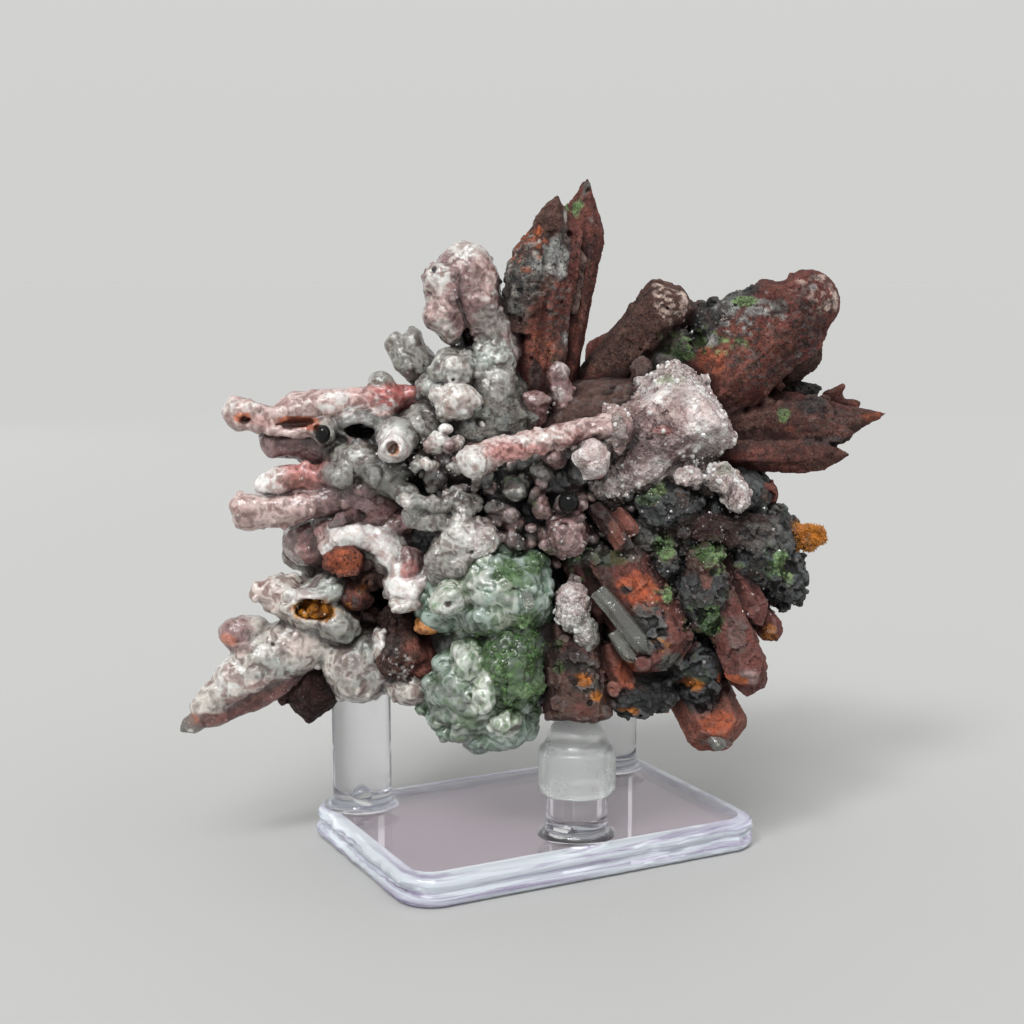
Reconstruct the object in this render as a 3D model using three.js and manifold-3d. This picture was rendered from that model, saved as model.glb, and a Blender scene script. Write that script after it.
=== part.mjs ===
// A quartz cluster on a clear three-peg display stand. Millimetres, +Z up.
// The origin is the centre of the base plate's underside, X runs along the plate's long side,
// and the front peg stands on the -Y side.
import * as THREE from 'three';
import { mergeVertices } from 'three/addons/utils/BufferGeometryUtils.js';
import Module from 'manifold-3d';

const wasm = await Module();
wasm.setup();

// Stand
const plateLength = 82.5;
const plateDepth = 57.2;
const plateThickness = 6.35;
const plateCorner = 8;
const plateEdge = 2.4;
const pegRadius = 6.35;
const pegX = 31;
const backPegY = 20.5;
const frontPegX = 1;
const frontPegY = -17.4;
const backPegLength = 25.4;
const frontPegLength = 19.05;
const pegChamfer = 0.4;
const pegSides = 18;
const capRadius = 8;
const capBore = 6.65;
const capLip = 15.2;
const capDomeRadius = 6.3;
const capDomeHeight = 6.2;
const capRound = 2;

// Stone
const stoneTurn = -27.1;
const seatGap = 0.3;
const fingerSides = 6;
const smallLump = 8.5;
const shoulderSpread = 0.3;
const fingerRoughness = 0.1;
const lumpRoughness = 0.16;
const beadTurn = 137.5;

// Everything below is in the stone's own frame: x to the right of its display side, y towards
// its back, z up from the surface that the plate stands on.

// The mass that the crystals grow from: centre, radii.
const coreMasses = [
  [[-8, 4, 70], [29, 25, 22]],
  [[29, 6, 62], [21, 23, 25]],
  [[-10, 0, 90], [13, 16, 13]],
  [[19, 2, 86], [24, 19, 13]],
  [[-6, -4, 47], [20, 19, 17]],
  [[-32, -1, 66], [14, 17, 20]],
  [[-36, 0, 42], [9, 11, 11]],
  [[32, 2, 46], [14, 17, 17]],
  [[40, -3, 74], [11, 11, 8]],
  [[16, 27, 44], [13, 14, 13]],
];

// Six-sided crystals: root, tip, radius, length of the pyramid, turn about the axis in degrees.
const crystals = {
  spires: [
    [[4, 4, 88], [11, 4, 140], 4.4, 9, 20],
    [[-1, -2, 88], [6.6, -2, 134], 4.0, 7, 0],
    [[-1.5, -3, 111], [4.2, -4, 135], 4.2, 7, 35],
    [[1, 3, 92], [-5.8, 3, 118], 3.0, 4, 10],
  ],
  upperRight: [
    [[8, 6, 90], [30.6, 4, 117.6], 5.2, 3, 15],
    [[14, 7, 98], [23.4, 6, 114], 2.6, 2, 40],
    [[21, 6, 81], [60, 3, 118.6], 9.8, 4, 5],
    [[44, 10, 92], [61, 9, 107.5], 4.5, 4, 20],
    [[44, 12, 91], [62, 10, 96], 5.0, 6, 30],
    [[36, 4, 86], [74.5, 2, 91.3], 7.2, 17, 25],
    [[38, -2, 83.5], [66, -3, 83], 3.8, 6, 10],
    [[37, 3, 86], [49, 2, 77], 4.2, 3, 30],
    [[42, -6, 76], [50.5, -7, 75.6], 2.3, 0.8, 0],
  ],
  lowerLeft: [
    [[-46, -8, 39], [-72.4, -14, 27.6], 2.6, 5, 20],
    [[-45, -2, 43], [-47, -6, 27.4], 4.4, 6, 10],
    [[-42, 2, 42], [-40.4, 0, 33.5], 3.2, 3, 0],
    [[-46, -2, 40], [-54.5, -6, 33], 2.4, 3, 30],
    [[-24, -12, 52], [-25.5, -17, 35.5], 5.0, 3, 15],
  ],
  lowerRight: [
    [[15, -14, 63], [25, -22, 41], 6.6, 2, 5],
    [[11.5, -22, 57.5], [22.5, -26, 42.5], 2.4, 3, 0],
    [[7, -14, 50], [10, -18, 31], 6.2, 4, 25],
    [[15, -16, 46], [19, -20, 36], 3.0, 2, 0],
    [[34, -12, 63], [44.5, -19, 37], 4.8, 4, 10],
    [[37, -8, 65], [46, -17, 50], 3.2, 3, 40],
    [[38, -8, 44], [46, -17, 36.5], 3.8, 2, 0],
    [[29, -6, 42], [39, -15, 23.8], 6.2, 4, 20],
    [[44, -6, 54], [50, -13, 46], 3.0, 2, 20],
    [[28, -14, 69], [50, -12, 67], 3.6, 1, 30],
    [[12, -16, 74], [17.5, -21, 65.5], 1.8, 0.6, 15],
  ],
  back: [
    [[0, 14, 84], [-4, 28, 113], 5.6, 8, 10],
    [[12, 14, 88], [18, 30, 107], 4.6, 6, 35],
    [[22, 14, 82], [45, 38, 101], 6.2, 9, 25],
    [[4, 18, 66], [12, 49, 76], 7.0, 8, 5],
    [[-20, 14, 74], [-44, 34, 86], 5.4, 5, 30],
    [[-20, 14, 54], [-40, 38, 46], 5.0, 7, 15],
    [[20, 26, 46], [38, 44, 40], 5.4, 6, 20],
    [[32, 16, 64], [54, 34, 62], 6.0, 7, 0],
    [[-6, 20, 54], [-14, 46, 58], 5.2, 6, 30],
  ],
};

// Round-ended fingers, coated with small crystals: x, y, z, radius along each.
const fingers = {
  top: [
    [[-7.5, -2, 90, 6.4], [-8.5, -2, 104, 6.4], [-12, -3, 113, 6.1], [-14.3, -4, 121, 5.6]],
    [[-16.5, -8, 108.5, 2.6], [-18.3, -9, 112, 3.4], [-18.4, -9, 119, 3.3]],
    [[-22, -2, 97, 2.2], [-25.6, -3, 101.5, 2.0], [-28.4, -3, 106, 1.9]],
    [[-20, -3, 98, 3.0], [-23, -3, 103, 2.6], [-25, -3, 106.8, 2.0]],
    [[-8.5, -6, 86, 4.4], [-8.6, -7, 94, 4.2], [-8.6, -7, 102, 4.6]],
    [[-1.5, -7, 87, 3.8], [0.2, -8, 94, 2.8]],
    [[6, -6, 90, 2.8], [5.4, -6, 96, 2.2], [5.4, -6, 100.2, 2.3]],
  ],
  acrossTheFront: [
    [[-12, -27, 84.3, 3.0], [-8, -26, 86, 2.3], [4, -24, 88.8, 2.1], [14, -20, 90.5, 2.6]],
    [[-24.6, -26, 76, 1.8], [-20, -24, 75.6, 1.7], [-12, -22, 75.4, 2.2]],
    [[-24.3, -25, 72.8, 1.7], [-18, -22, 72.4, 2.0]],
  ],
  left: [
    [[-59.4, -12, 92.2, 2.9], [-48, -10, 88.6, 1.8], [-42, -8, 88, 3.0], [-34, -6, 88, 5.0]],
    [[-47.4, -11, 93.4, 3.3], [-42.5, -10, 94.2, 2.8], [-23, -5, 95, 2.9]],
    [[-52.6, -9, 85.8, 2.3], [-46, -8, 85, 2.6], [-28, -4, 82, 7.0]],
    [[-52.6, -13, 78.4, 2.1], [-47, -12, 78.6, 2.2], [-32, -9, 79, 4.0]],
    [[-57.4, -14, 72.4, 3.4], [-51.5, -13, 72.8, 2.2], [-41, -12, 74.4, 3.5], [-25, -9, 74.4, 3.4]],
    [[-46.5, -6, 65.4, 5.0], [-36, -4, 64, 6.5]],
    [[-42, -17, 65.4, 1.6], [-38.4, -18, 67.8, 1.8], [-33, -18, 67.8, 1.8], [-29, -18, 62.4, 1.4]],
    [[-28.4, -19, 63.2, 1.4], [-28.2, -20, 59.4, 1.7], [-23, -20, 58, 1.5], [-21.8, -20, 62, 1.2]],
  ],
  lowerLeft: [
    [[-45, -8, 52, 6.4], [-51, -11, 55, 4.2], [-56.2, -12, 56.6, 1.4]],
    [[-44, -8, 46, 6.0], [-55, -11, 42.5, 5.4], [-61.5, -13, 38, 4.2], [-67.5, -14, 32.6, 2.4]],
  ],
};

// Rounded lumps: centre, radii.
const lumps = {
  top: [
    [[-16, -9, 101], [4.8, 5, 4.6]],
    [[-15.4, -14, 95], [4.8, 4, 4.6]],
    [[-22, -8, 89], [6, 8, 5]],
  ],
  left: [
    [[-30.6, -9, 97.2], [2.8, 3, 2.2]],
    [[-28.8, -17, 85.6], [2.8, 9, 2.8]],
    [[-25, -17, 61.4], [2.6, 3, 2.8]],
  ],
  druse: [
    [[11.4, -22, 84.6], [3.7, 6, 3.9]],
    [[16.2, -18, 89.6], [3.4, 6, 4.8]],
    [[22, -9, 84], [9, 11, 8.5]],
    [[27, -9, 89.5], [10.5, 11, 8.6]],
    [[33, -9, 90], [6, 8, 5.5]],
    [[36.8, -13, 79.4], [3.8, 8, 3.0]],
    [[40.4, -13, 76.2], [3.0, 8, 3.6]],
  ],
  crust: [
    [[42.6, 4, 115], [3, 4, 2.4]],
    [[36.5, 4, 110], [3.6, 5, 3.8]],
    [[46, 4, 115.4], [3.6, 4, 3.0]],
    [[27.4, 1, 101.6], [3.6, 5, 3]],
    [[55.4, -4, 68], [3.6, 3.4, 2.8]],
  ],
  matrix: [
    [[27, -14, 74], [7, 6, 5.5]],
    [[46, -6, 64], [9, 12, 9]],
    [[51, -8, 58.4], [5, 7, 6]],
    [[34, -16, 56], [6, 7, 8]],
    [[30, -10, 44], [7, 8, 7]],
  ],
  centre: [
    [[7, -22, 52], [4.6, 4, 6]],
    [[-13.5, -20, 68], [6.5, 6, 7]],
    [[6.6, -20, 69.6], [4.2, 7, 4.6]],
    [[-4, -20, 78.4], [2.4, 5, 2.2]],
    [[4, -18, 84.4], [2.2, 8, 2.2]],
    [[6.2, -20, 75.6], [2.2, 7, 2.2]],
    [[-16.8, -25, 57.4], [2.8, 6, 2.8]],
  ],
  lowerLeft: [
    [[-46, -12, 52.6], [5.4, 5, 4.8]],
    [[-36, -8, 40], [7.4, 9, 7.8]],
    [[-22, -14, 37], [4, 7, 4.4]],
    [[-60.6, -12, 46.4], [3.2, 3.4, 3.0]],
    [[-26, -18, 54.6], [5, 5, 1.8]],
  ],
};

// The grape-like mass low on the front: centre, radii, beads on it and their radius.
const beadedMasses = [
  [[-7, -18, 57], [11, 10, 9], 3, 4.8],
  [[-18, -16, 55], [6, 7, 6], 1, 3.6],
  [[-12, -16, 38], [10, 10, 9], 3, 4.6],
  [[-5, -20, 43], [6.4, 8, 9], 2, 4],
  [[-7.5, -16, 30], [7.6, 8, 5.4], 2, 4],
  [[-16, -14, 32.4], [6, 8, 5.2], 1, 3.8],
];

// Hollows: centre, radii.
const hollows = [
  [[-34.5, -14, 50.5], [6.6, 13, 5.4]],
  [[-34.5, -13, 88.6], [3.2, 9, 1.7]],
  [[-42.4, -17, 88.4], [1.5, 4, 2.0]],
  [[-45.4, -18, 52.6], [3.8, 6, 2.6]],
  [[25, -16, 37], [5, 10, 2.8]],
  [[-28.4, -26, 85.6], [1.3, 4, 1.7]],
  [[-49, -14, 90], [4.6, 4, 0.9]],
  [[-35, -14, 71.3], [7, 6, 1.0]],
  [[-13.6, -8, 107], [1.6, 5, 2.0]],
  [[48.2, -10, 75.4], [1.2, 3, 1.2]],
];

// A repeatable number between 0 and 1 for whole numbers a and b.
function spread(a, b) {
  const wave = Math.sin(a * 12.9898 + b * 78.233) * 43758.5453;
  return wave - Math.floor(wave);
}

function toSolid(geometry) {
  const bare = geometry.clone();
  bare.deleteAttribute('normal');
  bare.deleteAttribute('uv');
  const merged = mergeVertices(bare, 1e-4);
  const index = merged.index.array;
  const triangles = [];
  for (let i = 0; i < index.length; i += 3) {
    const [a, b, c] = [index[i], index[i + 1], index[i + 2]];
    if (a !== b && b !== c && c !== a) triangles.push(a, b, c);
  }
  const mesh = new wasm.Mesh({
    numProp: 3,
    vertProperties: new Float32Array(merged.attributes.position.array),
    triVerts: new Uint32Array(triangles),
  });
  return new wasm.Manifold(mesh);
}

function toGeometry(solid) {
  const mesh = solid.getMesh();
  const geometry = new THREE.BufferGeometry();
  geometry.setAttribute('position', new THREE.BufferAttribute(new Float32Array(mesh.vertProperties), 3));
  geometry.setIndex(new THREE.BufferAttribute(new Uint32Array(mesh.triVerts), 1));
  geometry.computeVertexNormals();
  return geometry;
}

function crystal([root, tip, radius, point, turn], number) {
  const axis = new THREE.Vector3(...tip).sub(new THREE.Vector3(...root));
  const length = axis.length();
  const profile = [[0, 0], [radius, 0], [radius, length - point], [0, length]];
  const geometry = new THREE.LatheGeometry(profile.map(([x, y]) => new THREE.Vector2(x, y)), 6);
  const position = geometry.attributes.position;
  for (let i = 0; i < position.count; i++) {
    const isShoulder = Math.abs(position.getY(i) - length + point) < 1e-6;
    if (!isShoulder) continue;
    const side = Math.round(Math.atan2(position.getZ(i), position.getX(i)) / (Math.PI / 3) + 6) % 6;
    const drop = shoulderSpread * point * (spread(number, side) - 0.5);
    position.setY(i, position.getY(i) - drop);
  }
  geometry.rotateY(THREE.MathUtils.degToRad(turn));
  const upright = new THREE.Vector3(0, 1, 0);
  const aim = new THREE.Quaternion().setFromUnitVectors(upright, axis.normalize());
  geometry.applyQuaternion(aim);
  geometry.translate(...root);
  return toSolid(geometry);
}

function finger(nodes, number) {
  const centres = nodes.map(([x, y, z]) => new THREE.Vector3(x, y, z));
  const radii = nodes.map((node) => node[3]);
  const last = nodes.length - 1;
  const startAim = centres[1].clone().sub(centres[0]).normalize();
  const endAim = centres[last].clone().sub(centres[last - 1]).normalize();
  const rings = [];
  const addRing = (centre, aim, radius) => rings.push({ centre, aim, radius });
  const slopeOut = 0.72;
  const slopeIn = 0.69;
  addRing(centres[0].clone().addScaledVector(startAim, -slopeOut * radii[0]), startAim, slopeIn * radii[0]);
  centres.forEach((centre, i) => {
    const before = centres[Math.max(i - 1, 0)];
    const after = centres[Math.min(i + 1, last)];
    addRing(centre, after.clone().sub(before).normalize(), radii[i]);
  });
  addRing(centres[last].clone().addScaledVector(endAim, slopeOut * radii[last]), endAim, slopeIn * radii[last]);

  const points = [];
  rings.forEach(({ centre, aim, radius }, ring) => {
    const side = new THREE.Vector3(0, 1, 0.01).cross(aim).normalize();
    const other = aim.clone().cross(side);
    for (let k = 0; k < fingerSides; k++) {
      const angle = (2 * Math.PI * (k + 0.5 * (ring % 2))) / fingerSides;
      const reach = radius * (1 + fingerRoughness * (spread(number * 31 + ring, k) - 0.5));
      const point = centre.clone().addScaledVector(side, reach * Math.cos(angle));
      points.push(point.addScaledVector(other, reach * Math.sin(angle)));
    }
  });
  const startPole = points.push(centres[0].clone().addScaledVector(startAim, -radii[0])) - 1;
  const endPole = points.push(centres[last].clone().addScaledVector(endAim, radii[last])) - 1;

  const faces = [];
  for (let ring = 0; ring < rings.length - 1; ring++) {
    for (let k = 0; k < fingerSides; k++) {
      const next = (k + 1) % fingerSides;
      const low = ring * fingerSides;
      const high = low + fingerSides;
      const shift = ring % 2;
      if (shift) faces.push(low + k, low + next, high + next, low + k, high + next, high + k);
      else faces.push(low + k, low + next, high + k, low + next, high + next, high + k);
    }
  }
  const top = (rings.length - 1) * fingerSides;
  for (let k = 0; k < fingerSides; k++) {
    const next = (k + 1) % fingerSides;
    faces.push(startPole, next, k);
    faces.push(endPole, top + k, top + next);
  }
  const geometry = new THREE.BufferGeometry().setFromPoints(points);
  geometry.setIndex(faces);
  return toSolid(geometry);
}

function lump([centre, radii], number) {
  const detail = Math.max(...radii) > smallLump ? 1 : 0;
  const geometry = new THREE.IcosahedronGeometry(1, detail);
  const position = geometry.attributes.position;
  const point = new THREE.Vector3();
  for (let i = 0; i < position.count; i++) {
    point.fromBufferAttribute(position, i);
    const cell = Math.round(point.x * 50) + 7 * Math.round(point.y * 50) + 13 * Math.round(point.z * 50);
    point.multiplyScalar(1 + lumpRoughness * (spread(number, cell) - 0.5));
    position.setXYZ(i, point.x, point.y, point.z);
  }
  geometry.scale(...radii);
  geometry.translate(...centre);
  return toSolid(geometry);
}

// Beads set out on the front half of a mass along a golden-angle spiral.
function beads([centre, radii, count, beadRadius], number) {
  const solids = [];
  for (let i = 0; i < count; i++) {
    const height = 1 - (2 * i + 1) / count;
    const ring = Math.sqrt(1 - height * height);
    const angle = THREE.MathUtils.degToRad(beadTurn * i);
    const place = [ring * Math.cos(angle), -Math.abs(ring * Math.sin(angle)), height];
    const size = beadRadius * (0.8 + 0.4 * spread(number, i));
    const at = place.map((value, axis) => centre[axis] + value * radii[axis] * 0.92);
    solids.push(lump([at, [size, size, size]], number * 17 + i));
  }
  return solids;
}

function stoneSolid() {
  const solids = [];
  coreMasses.forEach((mass, i) => solids.push(lump(mass, i)));
  Object.values(crystals).flat().forEach((entry, i) => solids.push(crystal(entry, i)));
  Object.values(fingers).flat().forEach((nodes, i) => solids.push(finger(nodes, i)));
  Object.values(lumps).flat().forEach((entry, i) => solids.push(lump(entry, 100 + i)));
  beadedMasses.forEach((mass, i) => {
    solids.push(lump(mass, 200 + i));
    solids.push(...beads(mass, i));
  });
  const hollowSolids = hollows.map((hollow, i) => lump(hollow, 300 + i));
  return hollowSolids.reduce((whole, cut) => whole.subtract(cut), joinAll(solids));
}

// Joins neighbours first, so that each step stays small.
function joinAll(solids) {
  if (solids.length === 1) return solids[0];
  const middle = solids.length >> 1;
  return joinAll(solids.slice(0, middle)).add(joinAll(solids.slice(middle)));
}

function turnAboutZ([x, y], degrees) {
  const angle = THREE.MathUtils.degToRad(degrees);
  return [x * Math.cos(angle) - y * Math.sin(angle), x * Math.sin(angle) + y * Math.cos(angle)];
}

// An upright body that clears a peg by the seat gap, in the stone's frame.
function pegClearance(place, radius, height) {
  const depth = height + seatGap;
  const geometry = new THREE.CylinderGeometry(radius + seatGap, radius + seatGap, depth, pegSides);
  geometry.rotateX(Math.PI / 2);
  const [x, y] = turnAboutZ(place, -stoneTurn);
  geometry.translate(x, y, depth / 2);
  return toSolid(geometry);
}

function finish(name, geometry, color, roughness, opacity = 1) {
  const transparent = opacity < 1;
  const material = new THREE.MeshStandardMaterial({ color, roughness, metalness: 0, opacity, transparent });
  const mesh = new THREE.Mesh(geometry, material);
  mesh.name = name;
  return mesh;
}

function basePlate() {
  const halfLength = plateLength / 2 - plateEdge;
  const halfDepth = plateDepth / 2 - plateEdge;
  const corner = plateCorner - plateEdge;
  const outline = new THREE.Shape();
  outline.moveTo(-halfLength + corner, -halfDepth);
  outline.lineTo(halfLength - corner, -halfDepth);
  outline.absarc(halfLength - corner, -halfDepth + corner, corner, -Math.PI / 2, 0);
  outline.lineTo(halfLength, halfDepth - corner);
  outline.absarc(halfLength - corner, halfDepth - corner, corner, 0, Math.PI / 2);
  outline.lineTo(-halfLength + corner, halfDepth);
  outline.absarc(-halfLength + corner, halfDepth - corner, corner, Math.PI / 2, Math.PI);
  outline.lineTo(-halfLength, -halfDepth + corner);
  outline.absarc(-halfLength + corner, -halfDepth + corner, corner, Math.PI, 1.5 * Math.PI);
  const geometry = new THREE.ExtrudeGeometry(outline, {
    depth: plateThickness - 2 * plateEdge,
    curveSegments: 4,
    bevelSize: plateEdge,
    bevelThickness: plateEdge,
    bevelSegments: 2,
  });
  geometry.translate(0, 0, plateEdge);
  return finish('base_plate', toGeometry(toSolid(geometry)), 0xe8e9f2, 0.05, 0.35);
}

function turned(name, profile, place, color, roughness, opacity) {
  const points = profile.map(([radius, height]) => new THREE.Vector2(radius, height));
  const geometry = new THREE.LatheGeometry(points, pegSides);
  geometry.rotateX(Math.PI / 2);
  const mesh = finish(name, toGeometry(toSolid(geometry)), color, roughness, opacity);
  mesh.position.set(place[0], place[1], 0);
  return mesh;
}

function peg(name, place, length) {
  const top = plateThickness + length;
  const profile = [
    [0, plateThickness],
    [pegRadius, plateThickness],
    [pegRadius, top - pegChamfer],
    [pegRadius - pegChamfer, top],
    [0, top],
  ];
  return turned(name, profile, place, 0xe8eef0, 0.05, 0.35);
}

// A soft tip pushed over the front peg: a straight skirt with a rounded lip, and a dome on top.
function pegCap(place) {
  const seat = plateThickness + frontPegLength;
  const profile = [
    [0, seat],
    [capBore, seat],
    [capBore, capLip + 0.5],
    [capBore + 0.4, capLip],
    [capRadius - capRound, capLip],
    [capRadius, capLip + capRound],
    [capRadius, seat - capRound],
    [capRadius - 0.5, seat - 0.5],
    [capDomeRadius, seat + 0.4],
  ];
  const domeSteps = 3;
  for (let i = 1; i <= domeSteps; i++) {
    const angle = (i / domeSteps) * (Math.PI / 2);
    profile.push([capDomeRadius * Math.cos(angle), seat + 0.4 + (capDomeHeight - 0.4) * Math.sin(angle)]);
  }
  profile[profile.length - 1][0] = 0;
  return turned('peg_cap', profile, place, 0xdfe6e4, 0.4, 0.6);
}

const backLeft = [-pegX, backPegY];
const backRight = [pegX, backPegY];
const front = [frontPegX, frontPegY];
const backTop = plateThickness + backPegLength;
const capTop = plateThickness + frontPegLength + capDomeHeight;

const clearances = [
  pegClearance(backLeft, pegRadius, backTop),
  pegClearance(backRight, pegRadius, backTop),
  pegClearance(front, capRadius, capTop),
];
const seatedStone = clearances.reduce((whole, cut) => whole.subtract(cut), stoneSolid());

const stone = new THREE.Group();
stone.rotation.z = THREE.MathUtils.degToRad(stoneTurn);
stone.add(finish('quartz_cluster', toGeometry(seatedStone), 0x7a5a50, 0.75));

const stand = new THREE.Group();
stand.add(basePlate());
stand.add(peg('peg_back_left', backLeft, backPegLength));
stand.add(peg('peg_back_right', backRight, backPegLength));
stand.add(peg('peg_front', front, frontPegLength));
stand.add(pegCap(front));

const displayedCluster = new THREE.Group();
displayedCluster.add(stand, stone);

export default displayedCluster;
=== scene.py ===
import math
import time

import bpy
import numpy as np
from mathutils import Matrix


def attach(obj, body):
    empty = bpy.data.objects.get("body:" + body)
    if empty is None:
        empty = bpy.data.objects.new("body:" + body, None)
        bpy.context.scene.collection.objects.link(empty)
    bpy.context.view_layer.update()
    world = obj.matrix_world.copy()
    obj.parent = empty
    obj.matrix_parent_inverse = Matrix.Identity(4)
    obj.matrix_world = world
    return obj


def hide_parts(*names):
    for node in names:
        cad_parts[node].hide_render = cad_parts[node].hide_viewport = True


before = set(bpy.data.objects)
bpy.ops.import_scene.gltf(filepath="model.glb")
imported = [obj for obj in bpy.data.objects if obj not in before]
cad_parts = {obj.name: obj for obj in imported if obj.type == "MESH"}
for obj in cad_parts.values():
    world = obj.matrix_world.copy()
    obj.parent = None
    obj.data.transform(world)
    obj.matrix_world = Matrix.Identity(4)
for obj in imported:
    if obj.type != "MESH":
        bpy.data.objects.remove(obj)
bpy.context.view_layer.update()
started = time.time()
print("frame loaded")

mm = 0.001
stoneTurn = math.radians(-27.1)  # lists of forms are in the stone's own frame, in mm


def addObject(name, data):
    made = bpy.data.objects.new(name, data)
    bpy.context.scene.collection.objects.link(made)
    return made


def readArray(items, name, width, kind=np.float32):
    values = np.empty(len(items) * width, kind)
    items.foreach_get(name, values)
    return values.reshape(-1, width)


def addNumber(mesh, name, values):
    mesh.attributes.new(name, "FLOAT", "POINT").data.foreach_set("value", values.astype(np.float32))


def addNode(tree, kind, inputs=None, **settings):
    made = tree.nodes.new(kind)
    for key, value in settings.items():
        setattr(made, key, value)
    for key, value in (inputs or {}).items():
        if isinstance(value, bpy.types.NodeSocket):
            tree.links.new(value, made.inputs[key])
        else:
            made.inputs[key].default_value = value
    return made


def addMath(tree, operation, a, b=0.0, clamp=False):
    return addNode(tree, "ShaderNodeMath", {0: a, 1: b}, operation=operation, use_clamp=clamp).outputs[0]


def addRange(tree, value, low, high, first=0.0, last=1.0):
    made = addNode(tree, "ShaderNodeMapRange", {"Value": value, "From Min": low, "From Max": high})
    made.inputs["To Min"].default_value = first
    made.inputs["To Max"].default_value = last
    return made.outputs[0]


def addMix(tree, share, a, b, blend="MIX"):
    made = addNode(tree, "ShaderNodeMix", data_type="RGBA", blend_type=blend)
    for socket, value in ((made.inputs[0], share), (made.inputs[6], a), (made.inputs[7], b)):
        if isinstance(value, bpy.types.NodeSocket):
            tree.links.new(value, socket)
        elif isinstance(value, (int, float)):
            socket.default_value = value
        else:
            socket.default_value = (*value, 1)
    return made.outputs[2]


def shaded(tree, colour, shade):
    return addMix(tree, 1.0, colour, shade, "MULTIPLY")


# camera, floor and light
cameraValues = {
    "place": (-160.1, -303.1, 120.2),
    "lookDown": 8.22,
    "turn": -27.1,
    "lens": 58.18,
    "sensor": 36.0,
}


def makeCamera(values):
    data = bpy.data.cameras.new("camera")
    data.lens = values["lens"]
    data.sensor_width = values["sensor"]
    data.clip_start = 0.01
    data.clip_end = 20
    camera = addObject("camera", data)
    camera.location = [place * mm for place in values["place"]]
    camera.rotation_euler = (math.radians(90 - values["lookDown"]), 0, math.radians(values["turn"]))
    bpy.context.scene.camera = camera


makeCamera(cameraValues)
bpy.context.scene.view_settings.view_transform = "Standard"

studio = {
    "floorSize": 80.0,
    "floorColour": (0.455, 0.458, 0.451),
    "skyHeights": (0.02, 0.75),
    "skyColours": ((0.634, 0.640, 0.625), (0.72, 0.72, 0.71)),
    # name, strength, softness and direction in degrees: softness, height, azimuth
    "lamps": [("key", 1.5, 28, 50, -38), ("fill", 0.35, 60, 35, 60), ("glint", 1.0, 11, 46, -58)],
    # name, power, width, height, turn from straight behind, distance
    "panels": [("panel_left", 0.45, 0.26, 0.5, 36, 1.1), ("panel_right", 0.38, 0.20, 0.5, -48, 1.1)],
}


def makeStudio(values):
    half = values["floorSize"] / 2
    mesh = bpy.data.meshes.new("floor")
    corners = [(-half, -half), (half, -half), (half, half), (-half, half)]
    mesh.from_pydata([(x, y, -0.0002) for x, y in corners], [], [(0, 1, 2, 3)])
    floor = addObject("floor", mesh)
    paint = bpy.data.materials.new("pale_floor")
    paint.use_nodes = True
    surface = paint.node_tree.nodes["Principled BSDF"]
    surface.inputs["Base Color"].default_value = (*values["floorColour"], 1)
    surface.inputs["Roughness"].default_value = 0.6
    surface.inputs["Specular IOR Level"].default_value = 0.25
    floor.data.materials.append(paint)

    world = bpy.data.worlds.new("studio")
    world.use_nodes = True
    tree = world.node_tree
    place = addNode(tree, "ShaderNodeTexCoord").outputs["Generated"]
    split = addNode(tree, "ShaderNodeSeparateXYZ", {0: place})
    rise = addNode(tree, "ShaderNodeValToRGB", {0: split.outputs["Z"]})
    for end, height, colour in zip(rise.color_ramp.elements, values["skyHeights"], values["skyColours"]):
        end.position = height
        end.color = (*colour, 1)
    tree.links.new(rise.outputs[0], tree.nodes["Background"].inputs["Color"])
    bpy.context.scene.world = world

    for name, strength, softness, height, azimuth in values["lamps"]:
        light = bpy.data.lights.new(name, "SUN")
        light.energy = strength
        light.angle = math.radians(softness)
        lamp = addObject(name, light)
        lamp.rotation_euler = (math.radians(90 - height), 0, math.radians(azimuth))

    for name, power, width, height, turn, distance in values["panels"]:
        light = bpy.data.lights.new(name, "AREA")
        light.shape = "RECTANGLE"
        light.energy = power
        light.size = width
        light.size_y = height
        lamp = addObject(name, light)
        around = math.radians(cameraValues["turn"] + turn)
        lamp.location = (-distance * math.sin(around), distance * math.cos(around), height / 2 + 0.08)
        lamp.rotation_euler = (math.radians(90), 0, around + math.pi)
        lamp.visible_camera = False


makeStudio(studio)
print("camera, floor and light made")

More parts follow.
